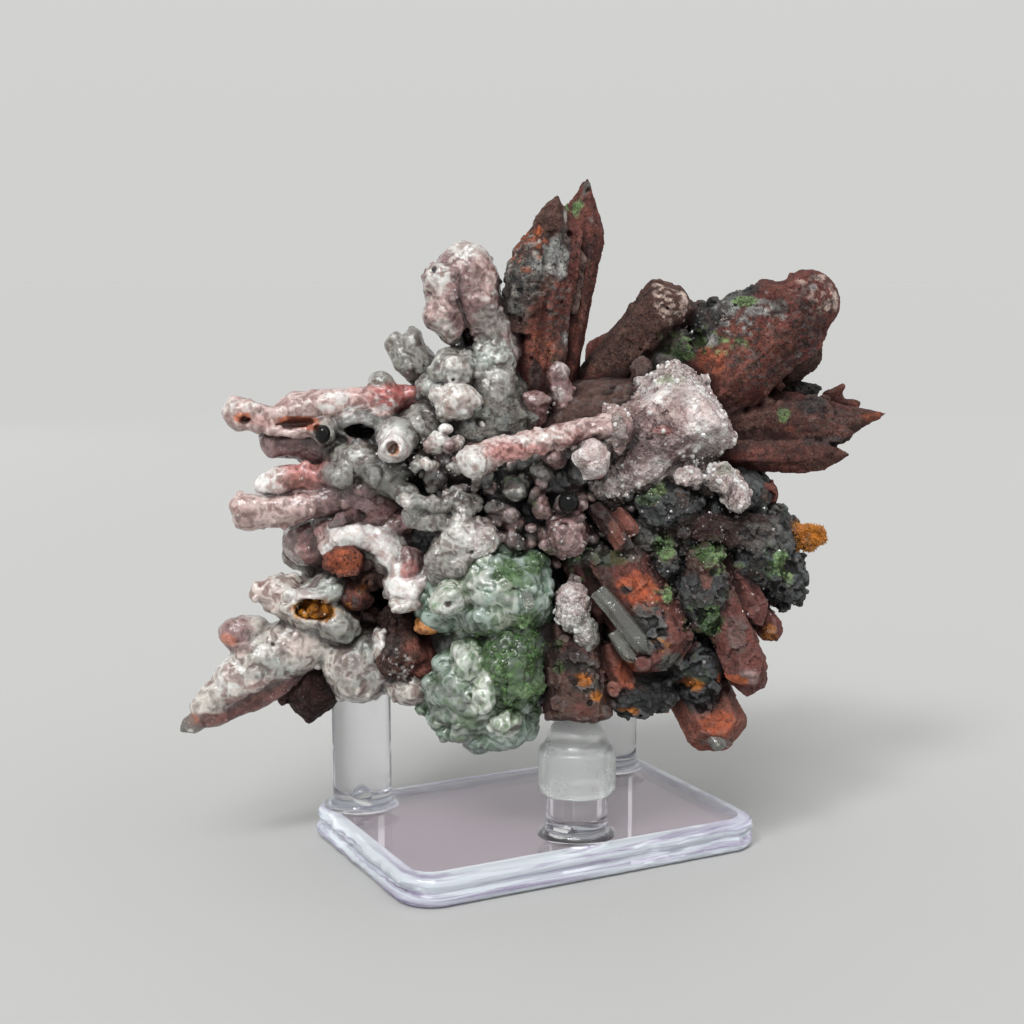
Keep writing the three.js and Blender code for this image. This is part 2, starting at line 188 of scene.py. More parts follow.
# minerals: colour, roughness, how knobbly, how sparkling
minerals = {
    "rust": {"colour": (0.142, 0.051, 0.043), "rough": 0.80, "knobby": 0.20, "sparkle": 0.0},
    "red": {"colour": (0.205, 0.076, 0.056), "rough": 0.75, "knobby": 0.10, "sparkle": 0.0},
    "brown": {"colour": (0.090, 0.049, 0.040), "rough": 0.80, "knobby": 0.35, "sparkle": 0.0},
    "maroon": {"colour": (0.034, 0.014, 0.013), "rough": 0.50, "knobby": 0.10, "sparkle": 0.1},
    "dark": {"colour": (0.040, 0.043, 0.044), "rough": 0.62, "knobby": 1.00, "sparkle": 0.1},
    "slate": {"colour": (0.125, 0.130, 0.122), "rough": 0.70, "knobby": 0.90, "sparkle": 0.0},
    "grey": {"colour": (0.185, 0.188, 0.168), "rough": 0.36, "knobby": 0.80, "sparkle": 0.2},
    "mauve": {"colour": (0.165, 0.095, 0.092), "rough": 0.34, "knobby": 0.70, "sparkle": 0.2},
    "rose": {"colour": (0.330, 0.090, 0.080), "rough": 0.32, "knobby": 0.60, "sparkle": 0.1},
    "pink": {"colour": (0.370, 0.145, 0.132), "rough": 0.32, "knobby": 0.60, "sparkle": 0.1},
    "blush": {"colour": (0.430, 0.310, 0.290), "rough": 0.34, "knobby": 0.60, "sparkle": 0.2},
    "bone": {"colour": (0.390, 0.368, 0.335), "rough": 0.33, "knobby": 0.70, "sparkle": 0.3},
    "white": {"colour": (0.540, 0.525, 0.490), "rough": 0.33, "knobby": 0.70, "sparkle": 0.3},
    "milk": {"colour": (0.760, 0.750, 0.730), "rough": 0.25, "knobby": 0.30, "sparkle": 0.1},
    "druse": {"colour": (0.560, 0.520, 0.500), "rough": 0.28, "knobby": 0.60, "sparkle": 1.0},
    "mint": {"colour": (0.262, 0.312, 0.290), "rough": 0.30, "knobby": 1.00, "sparkle": 0.2},
    "green": {"colour": (0.046, 0.096, 0.026), "rough": 0.45, "knobby": 1.00, "sparkle": 0.1},
    "lime": {"colour": (0.180, 0.290, 0.120), "rough": 0.55, "knobby": 1.00, "sparkle": 0.0},
    "amber": {"colour": (0.560, 0.215, 0.012), "rough": 0.22, "knobby": 0.60, "sparkle": 0.5},
    "ochre": {"colour": (0.420, 0.150, 0.015), "rough": 0.50, "knobby": 0.80, "sparkle": 0.1},
    "orange": {"colour": (0.460, 0.118, 0.045), "rough": 0.65, "knobby": 0.20, "sparkle": 0.0},
    "cream": {"colour": (0.560, 0.440, 0.380), "rough": 0.50, "knobby": 0.20, "sparkle": 0.0},
    "black": {"colour": (0.004, 0.004, 0.004), "rough": 0.05, "knobby": 0.00, "sparkle": 0.0},
    "bluegrey": {"colour": (0.380, 0.405, 0.390), "rough": 0.65, "knobby": 0.30, "sparkle": 0.0},
}

# solid noise and distances


def latticeRandom(ix, iy, iz, seed):
    mixed = ix.astype(np.uint32) * np.uint32(374761393) + iy.astype(np.uint32) * np.uint32(668265263)
    mixed = mixed + iz.astype(np.uint32) * np.uint32(2147483647) + np.uint32(seed * 974711)
    mixed = (mixed ^ (mixed >> np.uint32(13))) * np.uint32(1274126177)
    mixed = mixed ^ (mixed >> np.uint32(16))
    return (mixed & np.uint32(0xFFFFFF)).astype(np.float32) / float(0xFFFFFF)


def gridNoise(axes, size, seed):
    # smooth noise from -1 to 1 on a regular grid, one axis after another
    parts = []
    for axis in axes:
        place = axis / size
        cell = np.floor(place).astype(np.int64)
        t = (place - cell).astype(np.float32)
        parts.append((cell, t * t * (3 - 2 * t)))
    spans = [np.arange(cell.min(), cell.max() + 2) for cell, t in parts]
    values = latticeRandom(spans[0][:, None, None], spans[1][None, :, None], spans[2][None, None, :], seed)
    for k, (cell, t) in enumerate(parts):
        at = cell - cell.min()
        shape = [1, 1, 1]
        shape[k] = len(t)
        t = t.reshape(shape)
        values = np.take(values, at, axis=k) * (1 - t) + np.take(values, at + 1, axis=k) * t
    return values * 2 - 1


def pointNoise(points, size, seed):
    # the same noise at loose points
    place = points / size
    cell = np.floor(place).astype(np.int64)
    t = (place - cell).astype(np.float32)
    t = t * t * (3 - 2 * t)
    total = np.zeros(len(points), np.float32)
    for corner in range(8):
        dx, dy, dz = corner & 1, (corner >> 1) & 1, corner >> 2
        weight = (t[:, 0] if dx else 1 - t[:, 0]) * (t[:, 1] if dy else 1 - t[:, 1])
        weight = weight * (t[:, 2] if dz else 1 - t[:, 2])
        total += weight * latticeRandom(cell[:, 0] + dx, cell[:, 1] + dy, cell[:, 2] + dz, seed)
    return total * 2 - 1


def sideVectors(axis):
    helper = np.array([0.0, 1.0, 0.01]) if abs(axis[1]) < 0.9 else np.array([1.0, 0.0, 0.0])
    side = np.cross(helper, axis)
    side /= np.linalg.norm(side)
    return side, np.cross(axis, side)


def crystalForm(mineral, root, tip, radius, point, turn, seed=0, worn=0.5):
    # six sides and six end faces, each set out on its own plane
    root, tip = np.array(root, float), np.array(tip, float)
    axis = tip - root
    length = np.linalg.norm(axis)
    axis /= length
    side, other = sideVectors(axis)
    rng = np.random.default_rng(1000 + seed)
    planes = [(-axis, 0.0)]
    for k in range(6):
        angle = math.radians(turn + 60 * k)
        face = side * math.cos(angle) + other * math.sin(angle)
        reach = radius * 0.9 * (1 + 0.10 * (rng.random() - 0.5))
        planes.append((face, reach))
        slope = point * (0.75 + 0.6 * rng.random()) * (1.25 if k % 2 else 0.85)
        end = face * slope + axis * reach
        end /= np.linalg.norm(end)
        planes.append((end, float(end @ (axis * length))))
    low = np.minimum(root, tip) - radius
    high = np.maximum(root, tip) + radius
    return {"kind": "crystal", "mineral": mineral, "root": root, "planes": planes, "low": low, "high": high,
            "worn": worn, "axis": (side, other, axis)}


def sideGrowths(mineral, root, tip, radius, point, turn, seed):
    # thinner crystals in parallel growth along a thick one
    rng = np.random.default_rng(3000 + seed)
    root, tip = np.array(root, float), np.array(tip, float)
    axis = (tip - root) / np.linalg.norm(tip - root)
    side, other = sideVectors(axis)
    length = np.linalg.norm(tip - root)
    grown = []
    for k in range(int(1.2 * radius)):
        angle = 2 * math.pi * rng.random()
        outward = side * math.cos(angle) + other * math.sin(angle)
        size = radius * (0.22 + 0.22 * rng.random())
        offset = outward * (radius * 1.02 - size)
        start = root + axis * length * 0.2 * rng.random() + offset
        stop = root + axis * length * (0.35 + 0.45 * rng.random()) + offset
        grown.append(crystalForm(mineral, start, stop, size, size * (0.3 + rng.random()), turn,
                                 seed=seed * 17 + k, worn=0.25))
    return grown


def strewn(kind, names, amount, centre, radii, side, radius, length, seed):
    # crystals or finger ends standing out of an oval mass on the side asked for
    rng = np.random.default_rng(seed)
    centre, radii, side = np.array(centre, float), np.array(radii, float), np.array(side, float)
    made = []
    while len(made) < amount:
        unit = rng.normal(size=3)
        unit /= np.linalg.norm(unit)
        if unit @ side < 0.1:
            continue
        away = unit + 0.35 * rng.normal(size=3) + 0.3 * side
        away /= np.linalg.norm(away)
        size = radius[0] + (radius[1] - radius[0]) * rng.random() ** 1.6
        reach = length[0] + (length[1] - length[0]) * rng.random()
        start = centre + radii * unit * 0.92
        stop = start + away * reach
        mineral = names[int(rng.integers(len(names)))]
        if kind == "crystal":
            made.append(crystalForm(mineral, start - away * 3, stop, size, size * (0.5 + rng.random()),
                                    60 * rng.random(), seed=seed + len(made), worn=0.3))
        else:
            middle = start + away * reach * 0.5 + 0.5 * rng.normal(size=3)
            end = size * (0.9 + 0.3 * rng.random())
            nodes = [(*(start - away * 2), size), (*middle, size * 0.8), (*stop, end)]
            made.append(fingerForm(mineral, nodes))
    return made


def fingerForm(mineral, nodes):
    nodes = np.array(nodes, float)
    low = (nodes[:, :3] - nodes[:, 3:]).min(0)
    high = (nodes[:, :3] + nodes[:, 3:]).max(0)
    return {"kind": "finger", "mineral": mineral, "nodes": nodes, "low": low, "high": high}


def lumpForm(mineral, centre, radii):
    centre, radii = np.array(centre, float), np.array(radii, float)
    low, high = centre - radii, centre + radii
    return {"kind": "lump", "mineral": mineral, "centre": centre, "radii": radii, "low": low, "high": high}


def distanceTo(form, points):
    if form["kind"] == "crystal":
        away = points - form["root"].astype(np.float32)
        best = None
        for face, reach in form["planes"]:
            value = away @ face.astype(np.float32) - np.float32(reach)
            best = value if best is None else -smoothLeast(-best, -value, form["worn"])
        return best
    if form["kind"] == "finger":
        best = None
        nodes = form["nodes"].astype(np.float32)
        for a, b in zip(nodes[:-1], nodes[1:]):
            along = b[:3] - a[:3]
            t = np.clip((points - a[:3]) @ along / (along @ along), 0, 1)
            gap = points - a[:3] - t[..., None] * along
            value = np.sqrt((gap * gap).sum(-1)) - (a[3] + t * (b[3] - a[3]))
            best = value if best is None else smoothLeast(best, value, 0.8)
        return best
    scaled = (points - form["centre"].astype(np.float32)) / form["radii"].astype(np.float32)
    size = np.sqrt((scaled * scaled).sum(-1)) + 1e-6
    steep = scaled / form["radii"].astype(np.float32)
    return size * (size - 1) / (np.sqrt((steep * steep).sum(-1)) + 1e-6)


def smoothLeast(a, b, width):
    share = np.clip(0.5 + 0.5 * (b - a) / width, 0, 1)
    return b + (a - b) * share - width * share * (1 - share)


def boxSlices(low, high, origin, step, count, margin):
    start = np.maximum(np.floor((low - margin - origin) / step).astype(int), 0)
    stop = np.minimum(np.ceil((high + margin - origin) / step).astype(int) + 1, count)
    return tuple(slice(a, b) for a, b in zip(start, stop)), bool((stop > start).all())


# growing a piece: forms joined in a field of distances, then a net of faces over it


def listForms(values):
    forms = []
    for k, entry in enumerate(values.get("crystals", [])):
        forms.append(crystalForm(*entry, seed=k, worn=values.get("worn", 0.5)))
        if entry[3] > 3.5 and values.get("ribs", True):
            forms += sideGrowths(*entry, seed=k)
    forms += [fingerForm(*entry) for entry in values.get("fingers", [])]
    forms += [lumpForm(*entry) for entry in values.get("lumps", [])]
    for entry in values.get("strewn", []):
        forms += strewn(*entry)
    return forms


# how far, in mm, forms of each kind melt into their neighbours, and how far their colours do
blends = {"crystal": 0.35, "finger": 1.2, "lump": 1.6, "colour": 0.4}


def growField(values):
    forms = listForms(values)
    step = values["grain"] * 1.0
    low = np.min([form["low"] for form in forms], 0) - 3
    high = np.max([form["high"] for form in forms], 0) + 3
    count = np.ceil((high - low) / step).astype(int) + 1
    axes = [low[k] + step * np.arange(count[k]) for k in range(3)]
    field = np.full(count, 4.0, np.float32)
    nearest = np.zeros(count, np.int16)
    bend = []
    for k in range(3):
        slow = gridNoise(axes, values.get("bendSize", 7.0), 11 + k) * values.get("bend", 0.7)
        quick = gridNoise(axes, values.get("wobbleSize", 2.2), 21 + k) * values.get("wobble", 0.25)
        bend.append(slow + quick)
    seen = np.full(count, 50.0, np.float32)
    mesh = np.meshgrid(*axes, indexing="ij", sparse=True)
    soft = values.get("softness", 1.0)
    widths = {"crystal": blends["crystal"], "finger": blends["finger"] * soft, "lump": blends["lump"] * soft}
    for number, form in enumerate(forms):
        part, some = boxSlices(form["low"], form["high"], low, step, count, 2.5)
        if not some:
            continue
        columns = []
        for k in range(3):
            pick = [slice(None)] * 3
            pick[k] = part[k]
            columns.append((mesh[k][tuple(pick)] + bend[k][part]).astype(np.float32))
        value = distanceTo(form, np.stack(columns, -1))
        field[part] = smoothLeast(field[part], value, widths[form["kind"]])
        closer = value < seen[part]
        seen[part] = np.where(closer, value, seen[part])
        nearest[part] = np.where(closer, number, nearest[part])
    for centre, radii in values.get("hollows", []):
        form = lumpForm("dark", centre, radii)
        part, some = boxSlices(form["low"], form["high"], low, step, count, 2.0)
        if some:
            columns = []
            for k in range(3):
                pick = [slice(None)] * 3
                pick[k] = part[k]
                columns.append(mesh[k][tuple(pick)] + bend[k][part])
            value = distanceTo(form, np.stack(columns, -1).astype(np.float32))
            field[part] = -smoothLeast(-field[part], value, 0.5)
    return {"forms": forms, "field": field, "nearest": nearest, "bend": bend, "low": low, "step": step,
            "count": count, "axes": axes}


def addKnobs(grown, values, seed):
    # rounded or blocky growths set at random on the surface
    rng = np.random.default_rng(seed)
    field, step, low, count = grown["field"], grown["step"], grown["low"], grown["count"]
    places = np.flatnonzero(np.abs(field) < 0.6 * step)
    kinds = np.array([minerals[form["mineral"]]["knobby"] for form in grown["forms"]])
    for amount, smallest, largest, style in values.get("knobs", []):
        chosen = rng.choice(places, amount)
        sizes = smallest + (largest - smallest) * rng.random(amount) ** 2
        keep = rng.random(amount) < kinds[grown["nearest"].ravel()[chosen]]
        for cell, size in zip(chosen[keep], sizes[keep]):
            spot = np.array(np.unravel_index(cell, field.shape))
            spot = np.clip(spot, 1, count - 2)
            ways = np.eye(3, dtype=int)
            slope = np.array([field[tuple(spot + way)] - field[tuple(spot - way)] for way in ways])
            slope /= np.linalg.norm(slope) + 1e-6
            at = spot * step + low - slope * size * (0.5 if style == "ball" else 0.3)
            if style == "ball":
                stretch = 1 + 0.35 * (rng.random(3) - 0.5)
                form = lumpForm("white", at, size * stretch)
            else:
                away = rng.normal(size=3)
                away /= np.linalg.norm(away)
                form = crystalForm("white", at - away * size, at + away * size, size * 0.8, size * 0.5,
                                   60 * rng.random(), seed=int(cell) % 997)
            part, some = boxSlices(form["low"], form["high"], low, step, count, 0.8)
            if not some:
                continue
            lines = [grown["axes"][k][part[k]] for k in range(3)]
            points = np.stack(np.meshgrid(*lines, indexing="ij"), -1).astype(np.float32)
            width = 0.35 * size if style == "ball" else 0.12
            if style == "pit":
                field[part] = -smoothLeast(-field[part], distanceTo(form, points), width)
            else:
                field[part] = smoothLeast(field[part], distanceTo(form, points), width)


def netOfFaces(field):
    # one corner in each cell that the surface crosses, one face for each crossed edge
    inside = field < 0
    shape = np.array(field.shape)
    strides = np.array([shape[1] * shape[2], shape[2], 1])
    spots, cells, turns = [], [], []
    for axis in range(3):
        u, v = (axis + 1) % 3, (axis + 2) % 3
        first = [slice(1, -1)] * 3
        second = [slice(1, -1)] * 3
        first[axis] = slice(0, -1)
        second[axis] = slice(1, None)
        first, second = tuple(first), tuple(second)
        where = np.argwhere(inside[first] != inside[second])
        where[:, u] += 1
        where[:, v] += 1
        index = where @ strides
        ends = field.ravel()
        start, stop = ends[index], ends[index + strides[axis]]
        spot = where.astype(np.float32)
        spot[:, axis] += start / (start - stop)
        before, beside = index - strides[u], index - strides[v]
        corners = np.stack([before - strides[v], beside, index, before], 1)
        cells.append(corners)
        spots.append(np.repeat(spot, 4, 0))
        turns.append(start < 0)
    cells = np.concatenate(cells)
    spots = np.concatenate(spots)
    outward = np.concatenate(turns)
    names, corner = np.unique(cells.ravel(), return_inverse=True)
    counts = np.bincount(corner)
    points = np.stack([np.bincount(corner, spots[:, k]) / counts for k in range(3)], 1)
    faces = corner.reshape(-1, 4)
    faces[~outward] = faces[~outward][:, ::-1]
    return points, faces


def keepLargeParts(points, faces, least):
    label = np.arange(len(points))
    ends = np.concatenate([faces[:, [0, 1]], faces[:, [1, 2]], faces[:, [2, 3]]])
    while True:
        before = label.copy()
        lower = np.minimum(label[ends[:, 0]], label[ends[:, 1]])
        np.minimum.at(label, ends[:, 0], lower)
        np.minimum.at(label, ends[:, 1], lower)
        label = label[label]
        if (label == before).all():
            break
    size = np.bincount(label, minlength=len(points))
    keep = size[label] >= least
    renumber = np.cumsum(keep) - 1
    faces = renumber[faces[keep[faces[:, 0]]]]
    return points[keep], faces


def paintCorners(grown, values, points):
    # each corner takes its colour from the forms near it, then from the patches
    total = np.zeros((len(points), 6), np.float64)
    weightSum = np.zeros(len(points))
    nearest = np.full(len(points), 9.0)
    streak = np.zeros(len(points))
    cell = np.clip(((points - grown["low"]) / grown["step"]).round().astype(int), 0, grown["count"] - 1)
    bent = points + np.stack([grown["bend"][k][cell[:, 0], cell[:, 1], cell[:, 2]] for k in range(3)], 1)
    for form in grown["forms"]:
        near = ((points > form["low"] - 2) & (points < form["high"] + 2)).all(1)
        if not near.any():
            continue
        value = distanceTo(form, bent[near].astype(np.float32))
        weight = np.exp(-np.clip(value, -0.4, 6) / blends["colour"])
        if form["kind"] == "crystal":
            spot = bent[near] - form["root"]
            place = np.stack([spot @ way for way in form["axis"]], 1)
            lines = pointNoise(place / np.array([1, 1, 9.0]), 0.8, 7)
            lines = lines + 0.7 * pointNoise(place / np.array([1, 1, 3]), 1.7, 8)
            streak[near] = np.where(value < nearest[near], lines, streak[near])
        nearest[near] = np.minimum(nearest[near], value)
        mineral = minerals[form["mineral"]]
        row = np.array([*mineral["colour"], mineral["rough"], mineral["knobby"], mineral["sparkle"]])
        total[near] += weight[:, None] * row
        weightSum[near] += weight
    paint = total / np.maximum(weightSum, 1e-9)[:, None]
    for number, (mineral, centre, radii, amount, *speck) in enumerate(values.get("patches", [])):
        away = (points - np.array(centre)) / (np.array(radii) * 1.5)
        near = (np.abs(away) < 1.2).all(1)
        if not near.any():
            continue
        spot = points[near]
        ragged = 0.30 * pointNoise(spot, 2.0, 40 + number) + 0.22 * pointNoise(spot, 0.9, 80 + number)
        size = np.sqrt((away[near] ** 2).sum(1)) * 1.5 + ragged
        share = np.clip((1.12 - size) / 0.3, 0, 1) * amount
        if speck:
            share = share * np.clip((pointNoise(spot, speck[0], 120 + number) - 0.05) / 0.2, 0, 1)
        chosen = minerals[mineral]
        row = np.array([*chosen["colour"], chosen["rough"], chosen["knobby"], chosen["sparkle"]])
        paint[near] += (row - paint[near]) * share[:, None]
    return paint, streak


def toStand(points):
    # from the stone's frame in mm to the stand's frame in metres
    turned = np.empty_like(points, dtype=np.float64)
    turned[:, 0] = points[:, 0] * math.cos(stoneTurn) - points[:, 1] * math.sin(stoneTurn)
    turned[:, 1] = points[:, 0] * math.sin(stoneTurn) + points[:, 1] * math.cos(stoneTurn)
    turned[:, 2] = points[:, 2]
    return turned * mm


def meshFrom(name, points, faces):
    mesh = bpy.data.meshes.new(name)
    mesh.vertices.add(len(points))
    mesh.vertices.foreach_set("co", np.asarray(points, np.float32).ravel())
    mesh.loops.add(faces.size)
    mesh.loops.foreach_set("vertex_index", faces.astype(np.int32).ravel())
    mesh.polygons.add(len(faces))
    mesh.polygons.foreach_set("loop_start", np.arange(0, faces.size, faces.shape[1], dtype=np.int32))
    mesh.update()
    mesh.validate()
    return mesh


def addColour(mesh, name, values):
    layer = mesh.attributes.new(name, "FLOAT_COLOR", "POINT")
    rows = np.ones((len(values), 4), np.float32)
    rows[:, : values.shape[1]] = values
    layer.data.foreach_set("color", rows.ravel())


# relief: knobs, grains and cracks pushed out of the net along its normals


reliefInputs = ("Knob Size", "Knob Height", "Fold Size", "Fold Height", "Grain Size", "Grain Height",
                "Chip Size", "Chip Height", "Streak Height")


def makeRelief():
    tree = bpy.data.node_groups.new("crust_relief", "GeometryNodeTree")
    tree.interface.new_socket("Geometry", in_out="INPUT", socket_type="NodeSocketGeometry")
    for name in reliefInputs:
        tree.interface.new_socket(name, in_out="INPUT", socket_type="NodeSocketFloat")
    tree.interface.new_socket("Material", in_out="INPUT", socket_type="NodeSocketMaterial")
    tree.interface.new_socket("Geometry", in_out="OUTPUT", socket_type="NodeSocketGeometry")
    source = addNode(tree, "NodeGroupInput").outputs
    position = addNode(tree, "GeometryNodeInputPosition").outputs[0]
    normal = addNode(tree, "GeometryNodeInputNormal").outputs[0]
    finish = addNode(tree, "GeometryNodeInputNamedAttribute", {"Name": "finish"}, data_type="FLOAT_COLOR")
    finish = addNode(tree, "FunctionNodeSeparateColor", {"Color": finish.outputs["Attribute"]})
    knobby = finish.outputs["Green"]
    streak = addNode(tree, "GeometryNodeInputNamedAttribute", {"Name": "streak"}, data_type="FLOAT")

    def plus(a, b):
        return addMath(tree, "ADD", a, b)

    def minus(a, b):
        return addMath(tree, "SUBTRACT", a, b)

    def times(a, b):
        return addMath(tree, "MULTIPLY", a, b)

    def texture(kind, size, **settings):
        scale = addMath(tree, "DIVIDE", 1.0, addMath(tree, "MAXIMUM", source[size], 1e-5))
        return addNode(tree, kind, {"Vector": position, "Scale": scale}, **settings)

    knob = texture("ShaderNodeTexVoronoi", "Knob Size", feature="SMOOTH_F1").outputs["Distance"]
    dome = addMath(tree, "SQRT", addMath(tree, "MAXIMUM", minus(1.0, times(knob, knob)), 0.0))
    knobs = times(minus(dome, 0.75), source["Knob Height"])
    fold = texture("ShaderNodeTexNoise", "Fold Size")
    fold.inputs["Detail"].default_value = 1.5
    fold.inputs["Distortion"].default_value = 1.2
    crest = addMath(tree, "ABSOLUTE", minus(fold.outputs[0], 0.5))
    crest = addMath(tree, "MINIMUM", times(crest, 4.0), 1.0)
    crest = minus(1.0, times(crest, crest))
    folds = times(minus(crest, 0.4), source["Fold Height"])
    grain = texture("ShaderNodeTexNoise", "Grain Size").outputs[0]
    grains = times(minus(grain, 0.5), source["Grain Height"])
    chip = texture("ShaderNodeTexVoronoi", "Chip Size").outputs["Color"]
    chipTone = addNode(tree, "FunctionNodeSeparateColor", {"Color": chip}).outputs[0]
    chips = times(times(minus(chipTone, 0.6), source["Chip Height"]), plus(knobby, 0.25))
    streaks = times(streak.outputs["Attribute"], source["Streak Height"])
    rounded = times(plus(knobs, folds), knobby)
    height = plus(plus(rounded, grains), plus(chips, streaks))
    push = addNode(tree, "ShaderNodeVectorMath", {0: normal, "Scale": height}, operation="SCALE")
    kept = addNode(tree, "GeometryNodeStoreNamedAttribute",
                   {"Name": "crest", "Geometry": source["Geometry"], "Value": crest})
    moved = addNode(tree, "GeometryNodeSetPosition",
                    {"Geometry": kept.outputs[0], "Offset": push.outputs[0]})
    solid = addNode(tree, "GeometryNodeRealizeInstances", {0: moved.outputs[0]})
    painted = addNode(tree, "GeometryNodeSetMaterial",
                      {"Geometry": solid.outputs[0], "Material": source["Material"]})
    tree.links.new(painted.outputs[0], addNode(tree, "NodeGroupOutput").inputs[0])
    return tree


reliefTree = makeRelief()


def setInputs(modifier, tree, values):
    for item in tree.interface.items_tree:
        if item.in_out == "INPUT" and item.name in values:
            modifier[item.identifier] = values[item.name]


def plainMesh(piece):
    graph = bpy.context.evaluated_depsgraph_get()
    return bpy.data.meshes.new_from_object(piece.evaluated_get(graph))


def bakeModifiers(piece):
    solid = plainMesh(piece)
    old = piece.data
    piece.modifiers.clear()
    piece.data = solid
    bpy.data.meshes.remove(old)


# rounds of smoothing, and the height in metres over the smoothed surface that counts as a full ridge
ridgeSteps = {3: 0.00012, 24: 0.0006}


def ridgeValues(mesh):
    # how far each corner stands out from, or lies below, the corners round it
    count = len(mesh.vertices)
    points = readArray(mesh.vertices, "co", 3).astype(np.float64)
    normals = readArray(mesh.vertex_normals, "vector", 3)
    edges = readArray(mesh.edges, "vertices", 2, np.int32)
    degree = np.maximum(np.bincount(edges.ravel(), minlength=count), 1)
    smooth = points.copy()
    result = []
    for turn in range(1, max(ridgeSteps) + 1):
        total = np.zeros_like(smooth)
        for k in range(3):
            total[:, k] = np.bincount(edges[:, 0], smooth[edges[:, 1], k], minlength=count)
            total[:, k] += np.bincount(edges[:, 1], smooth[edges[:, 0], k], minlength=count)
        smooth = total / degree[:, None]
        if turn in ridgeSteps:
            result.append(((points - smooth) * normals).sum(1) / ridgeSteps[turn])
    return np.clip(0.5 + 0.25 * np.stack(result, 1), 0, 1)


def solidGrid(fields, cell):
    # a coarse grid over the whole stone, 1 inside it and 0 outside
    low = np.min([field["low"] for field in fields], 0) - 4
    high = np.max([field["low"] + field["step"] * field["count"] for field in fields], 0) + 4
    count = np.ceil((high - low) / cell).astype(int)
    solid = np.zeros(count, np.float32)
    for field in fields:
        picks, spans = [], []
        for k in range(3):
            place = (low[k] + cell * np.arange(count[k]) - field["low"][k]) / field["step"]
            within = np.flatnonzero((place >= 0) & (place <= field["count"][k] - 1))
            spans.append(within)
            picks.append(place[within].round().astype(int))
        part = np.ix_(*spans)
        solid[part] = np.maximum(solid[part], field["field"][np.ix_(*picks)] < 0)
    return solid, low


def boxBlur(solid, reach):
    width = 2 * reach + 1
    for axis in (0, 1, 2, 0, 1, 2):
        padded = np.pad(solid, [(reach + 1, reach) if k == axis else (0, 0) for k in range(3)])
        total = np.cumsum(padded, axis)
        length = solid.shape[axis]
        ahead, behind = range(width, width + length), range(length)
        solid = (np.take(total, ahead, axis) - np.take(total, behind, axis)) / width
    return solid


def gridValues(grid, place):
    base = np.clip(np.floor(place).astype(int), 0, np.array(grid.shape) - 2)
    part = place - base
    result = np.zeros(len(place))
    for corner in range(8):
        bit = np.array([corner & 1, corner >> 1 & 1, corner >> 2])
        result += np.where(bit, part, 1 - part).prod(1) * grid[tuple((base + bit).T)]
    return result


def addDepth(pieces, values):
    # how deep between its neighbours each spot of the stone lies, for the painted shade in deep spots
    solid, low = solidGrid(grownFields, values["cell"])
    near, wide = boxBlur(solid, 1), boxBlur(solid, 3)
    for piece in pieces:
        points = readPoints(piece)
        normals = readArray(piece.data.vertex_normals, "vector", 3)
        spot = toStone(points) + toStone(normals) * mm * values["reach"]
        place = (spot - low) / values["cell"]
        share = 0.5 * gridValues(near, place) + 0.5 * gridValues(wide, place)
        deep = np.clip((share - values["open"]) / (values["buried"] - values["open"]), 0, 1)
        addNumber(piece.data, "deep", deep)


grownFields = []


def growPiece(name, values, material, seed):
    clock = time.time()
    grown = growField(values)
    addKnobs(grown, values, seed)
    for cut in values.get("cuts", []):
        cut(grown)
    grownFields.append({key: grown[key] for key in ("field", "low", "step", "count")})
    points, faces = netOfFaces(grown["field"])
    points = points * grown["step"] + grown["low"]
    points, faces = keepLargeParts(points, faces, values.get("leastPart", 400))
    paint, streak = paintCorners(grown, values, points)
    mesh = meshFrom(name, toStand(points), faces)
    addColour(mesh, "tint", paint[:, :3])
    addColour(mesh, "finish", paint[:, 3:6])
    addNumber(mesh, "streak", streak)
    piece = addObject(name, mesh)
    mesh.materials.append(material)
    mesh.polygons.foreach_set("use_smooth", np.full(len(mesh.polygons), values.get("smooth", True)))
    modifier = piece.modifiers.new("relief", "NODES")
    modifier.node_group = reliefTree
    setInputs(modifier, reliefTree, {key: value * mm for key, value in zip(reliefInputs, values["relief"])})
    setInputs(modifier, reliefTree, {"Material": material})
    bakeModifiers(piece)
    addColour(piece.data, "ridge", ridgeValues(piece.data))
    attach(piece, "root")
    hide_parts("quartz_cluster")
    triangles = 2 * len(piece.data.polygons)
    print(f"{name}: {triangles} triangles in {time.time() - clock:.1f} s")
    return piece


# materials


def newMaterial(name):
    material = bpy.data.materials.new(name)
    material.use_nodes = True
    return material, material.node_tree, material.node_tree.nodes["Principled BSDF"]


def noiseAt(tree, place, size, detail=3.0, rough=0.55, distortion=0.0):
    inputs = {"Vector": place, "Scale": 1 / (size * mm), "Detail": detail, "Roughness": rough,
              "Distortion": distortion}
    return addNode(tree, "ShaderNodeTexNoise", inputs).outputs[0]


def cellsAt(tree, place, size, feature="F1", output="Distance"):
    inputs = {"Vector": place, "Scale": 1 / (size * mm)}
    return addNode(tree, "ShaderNodeTexVoronoi", inputs, feature=feature).outputs[output]


# what a stone material has where its own dictionary says nothing else
plainStone = {
    "mottle": 0.6, "second": (1, 1, 1), "speckle": 0.1, "cloud": 0.35, "streaks": 0, "flecks": [],
    # the crease, ridge and depth keys set painted shade in creases and deep spots and painted light on
    # ridges
    "creviceShade": 0, "hollow": (1, 1, 1), "edge": 0, "ridgeLightColour": (1, 1, 1), "broad": 0.5, "calm": 1,
    "paintedDepthShade": (0.16, 0.13, 0.13), "buried": 0.92, "shine": 0.5, "sheen": 0, "coat": 0, "glow": 0,
    "glint": 0.3, "grit": 0.4, "cells": 0, "cellSize": 0.8, "bump": 1,
}


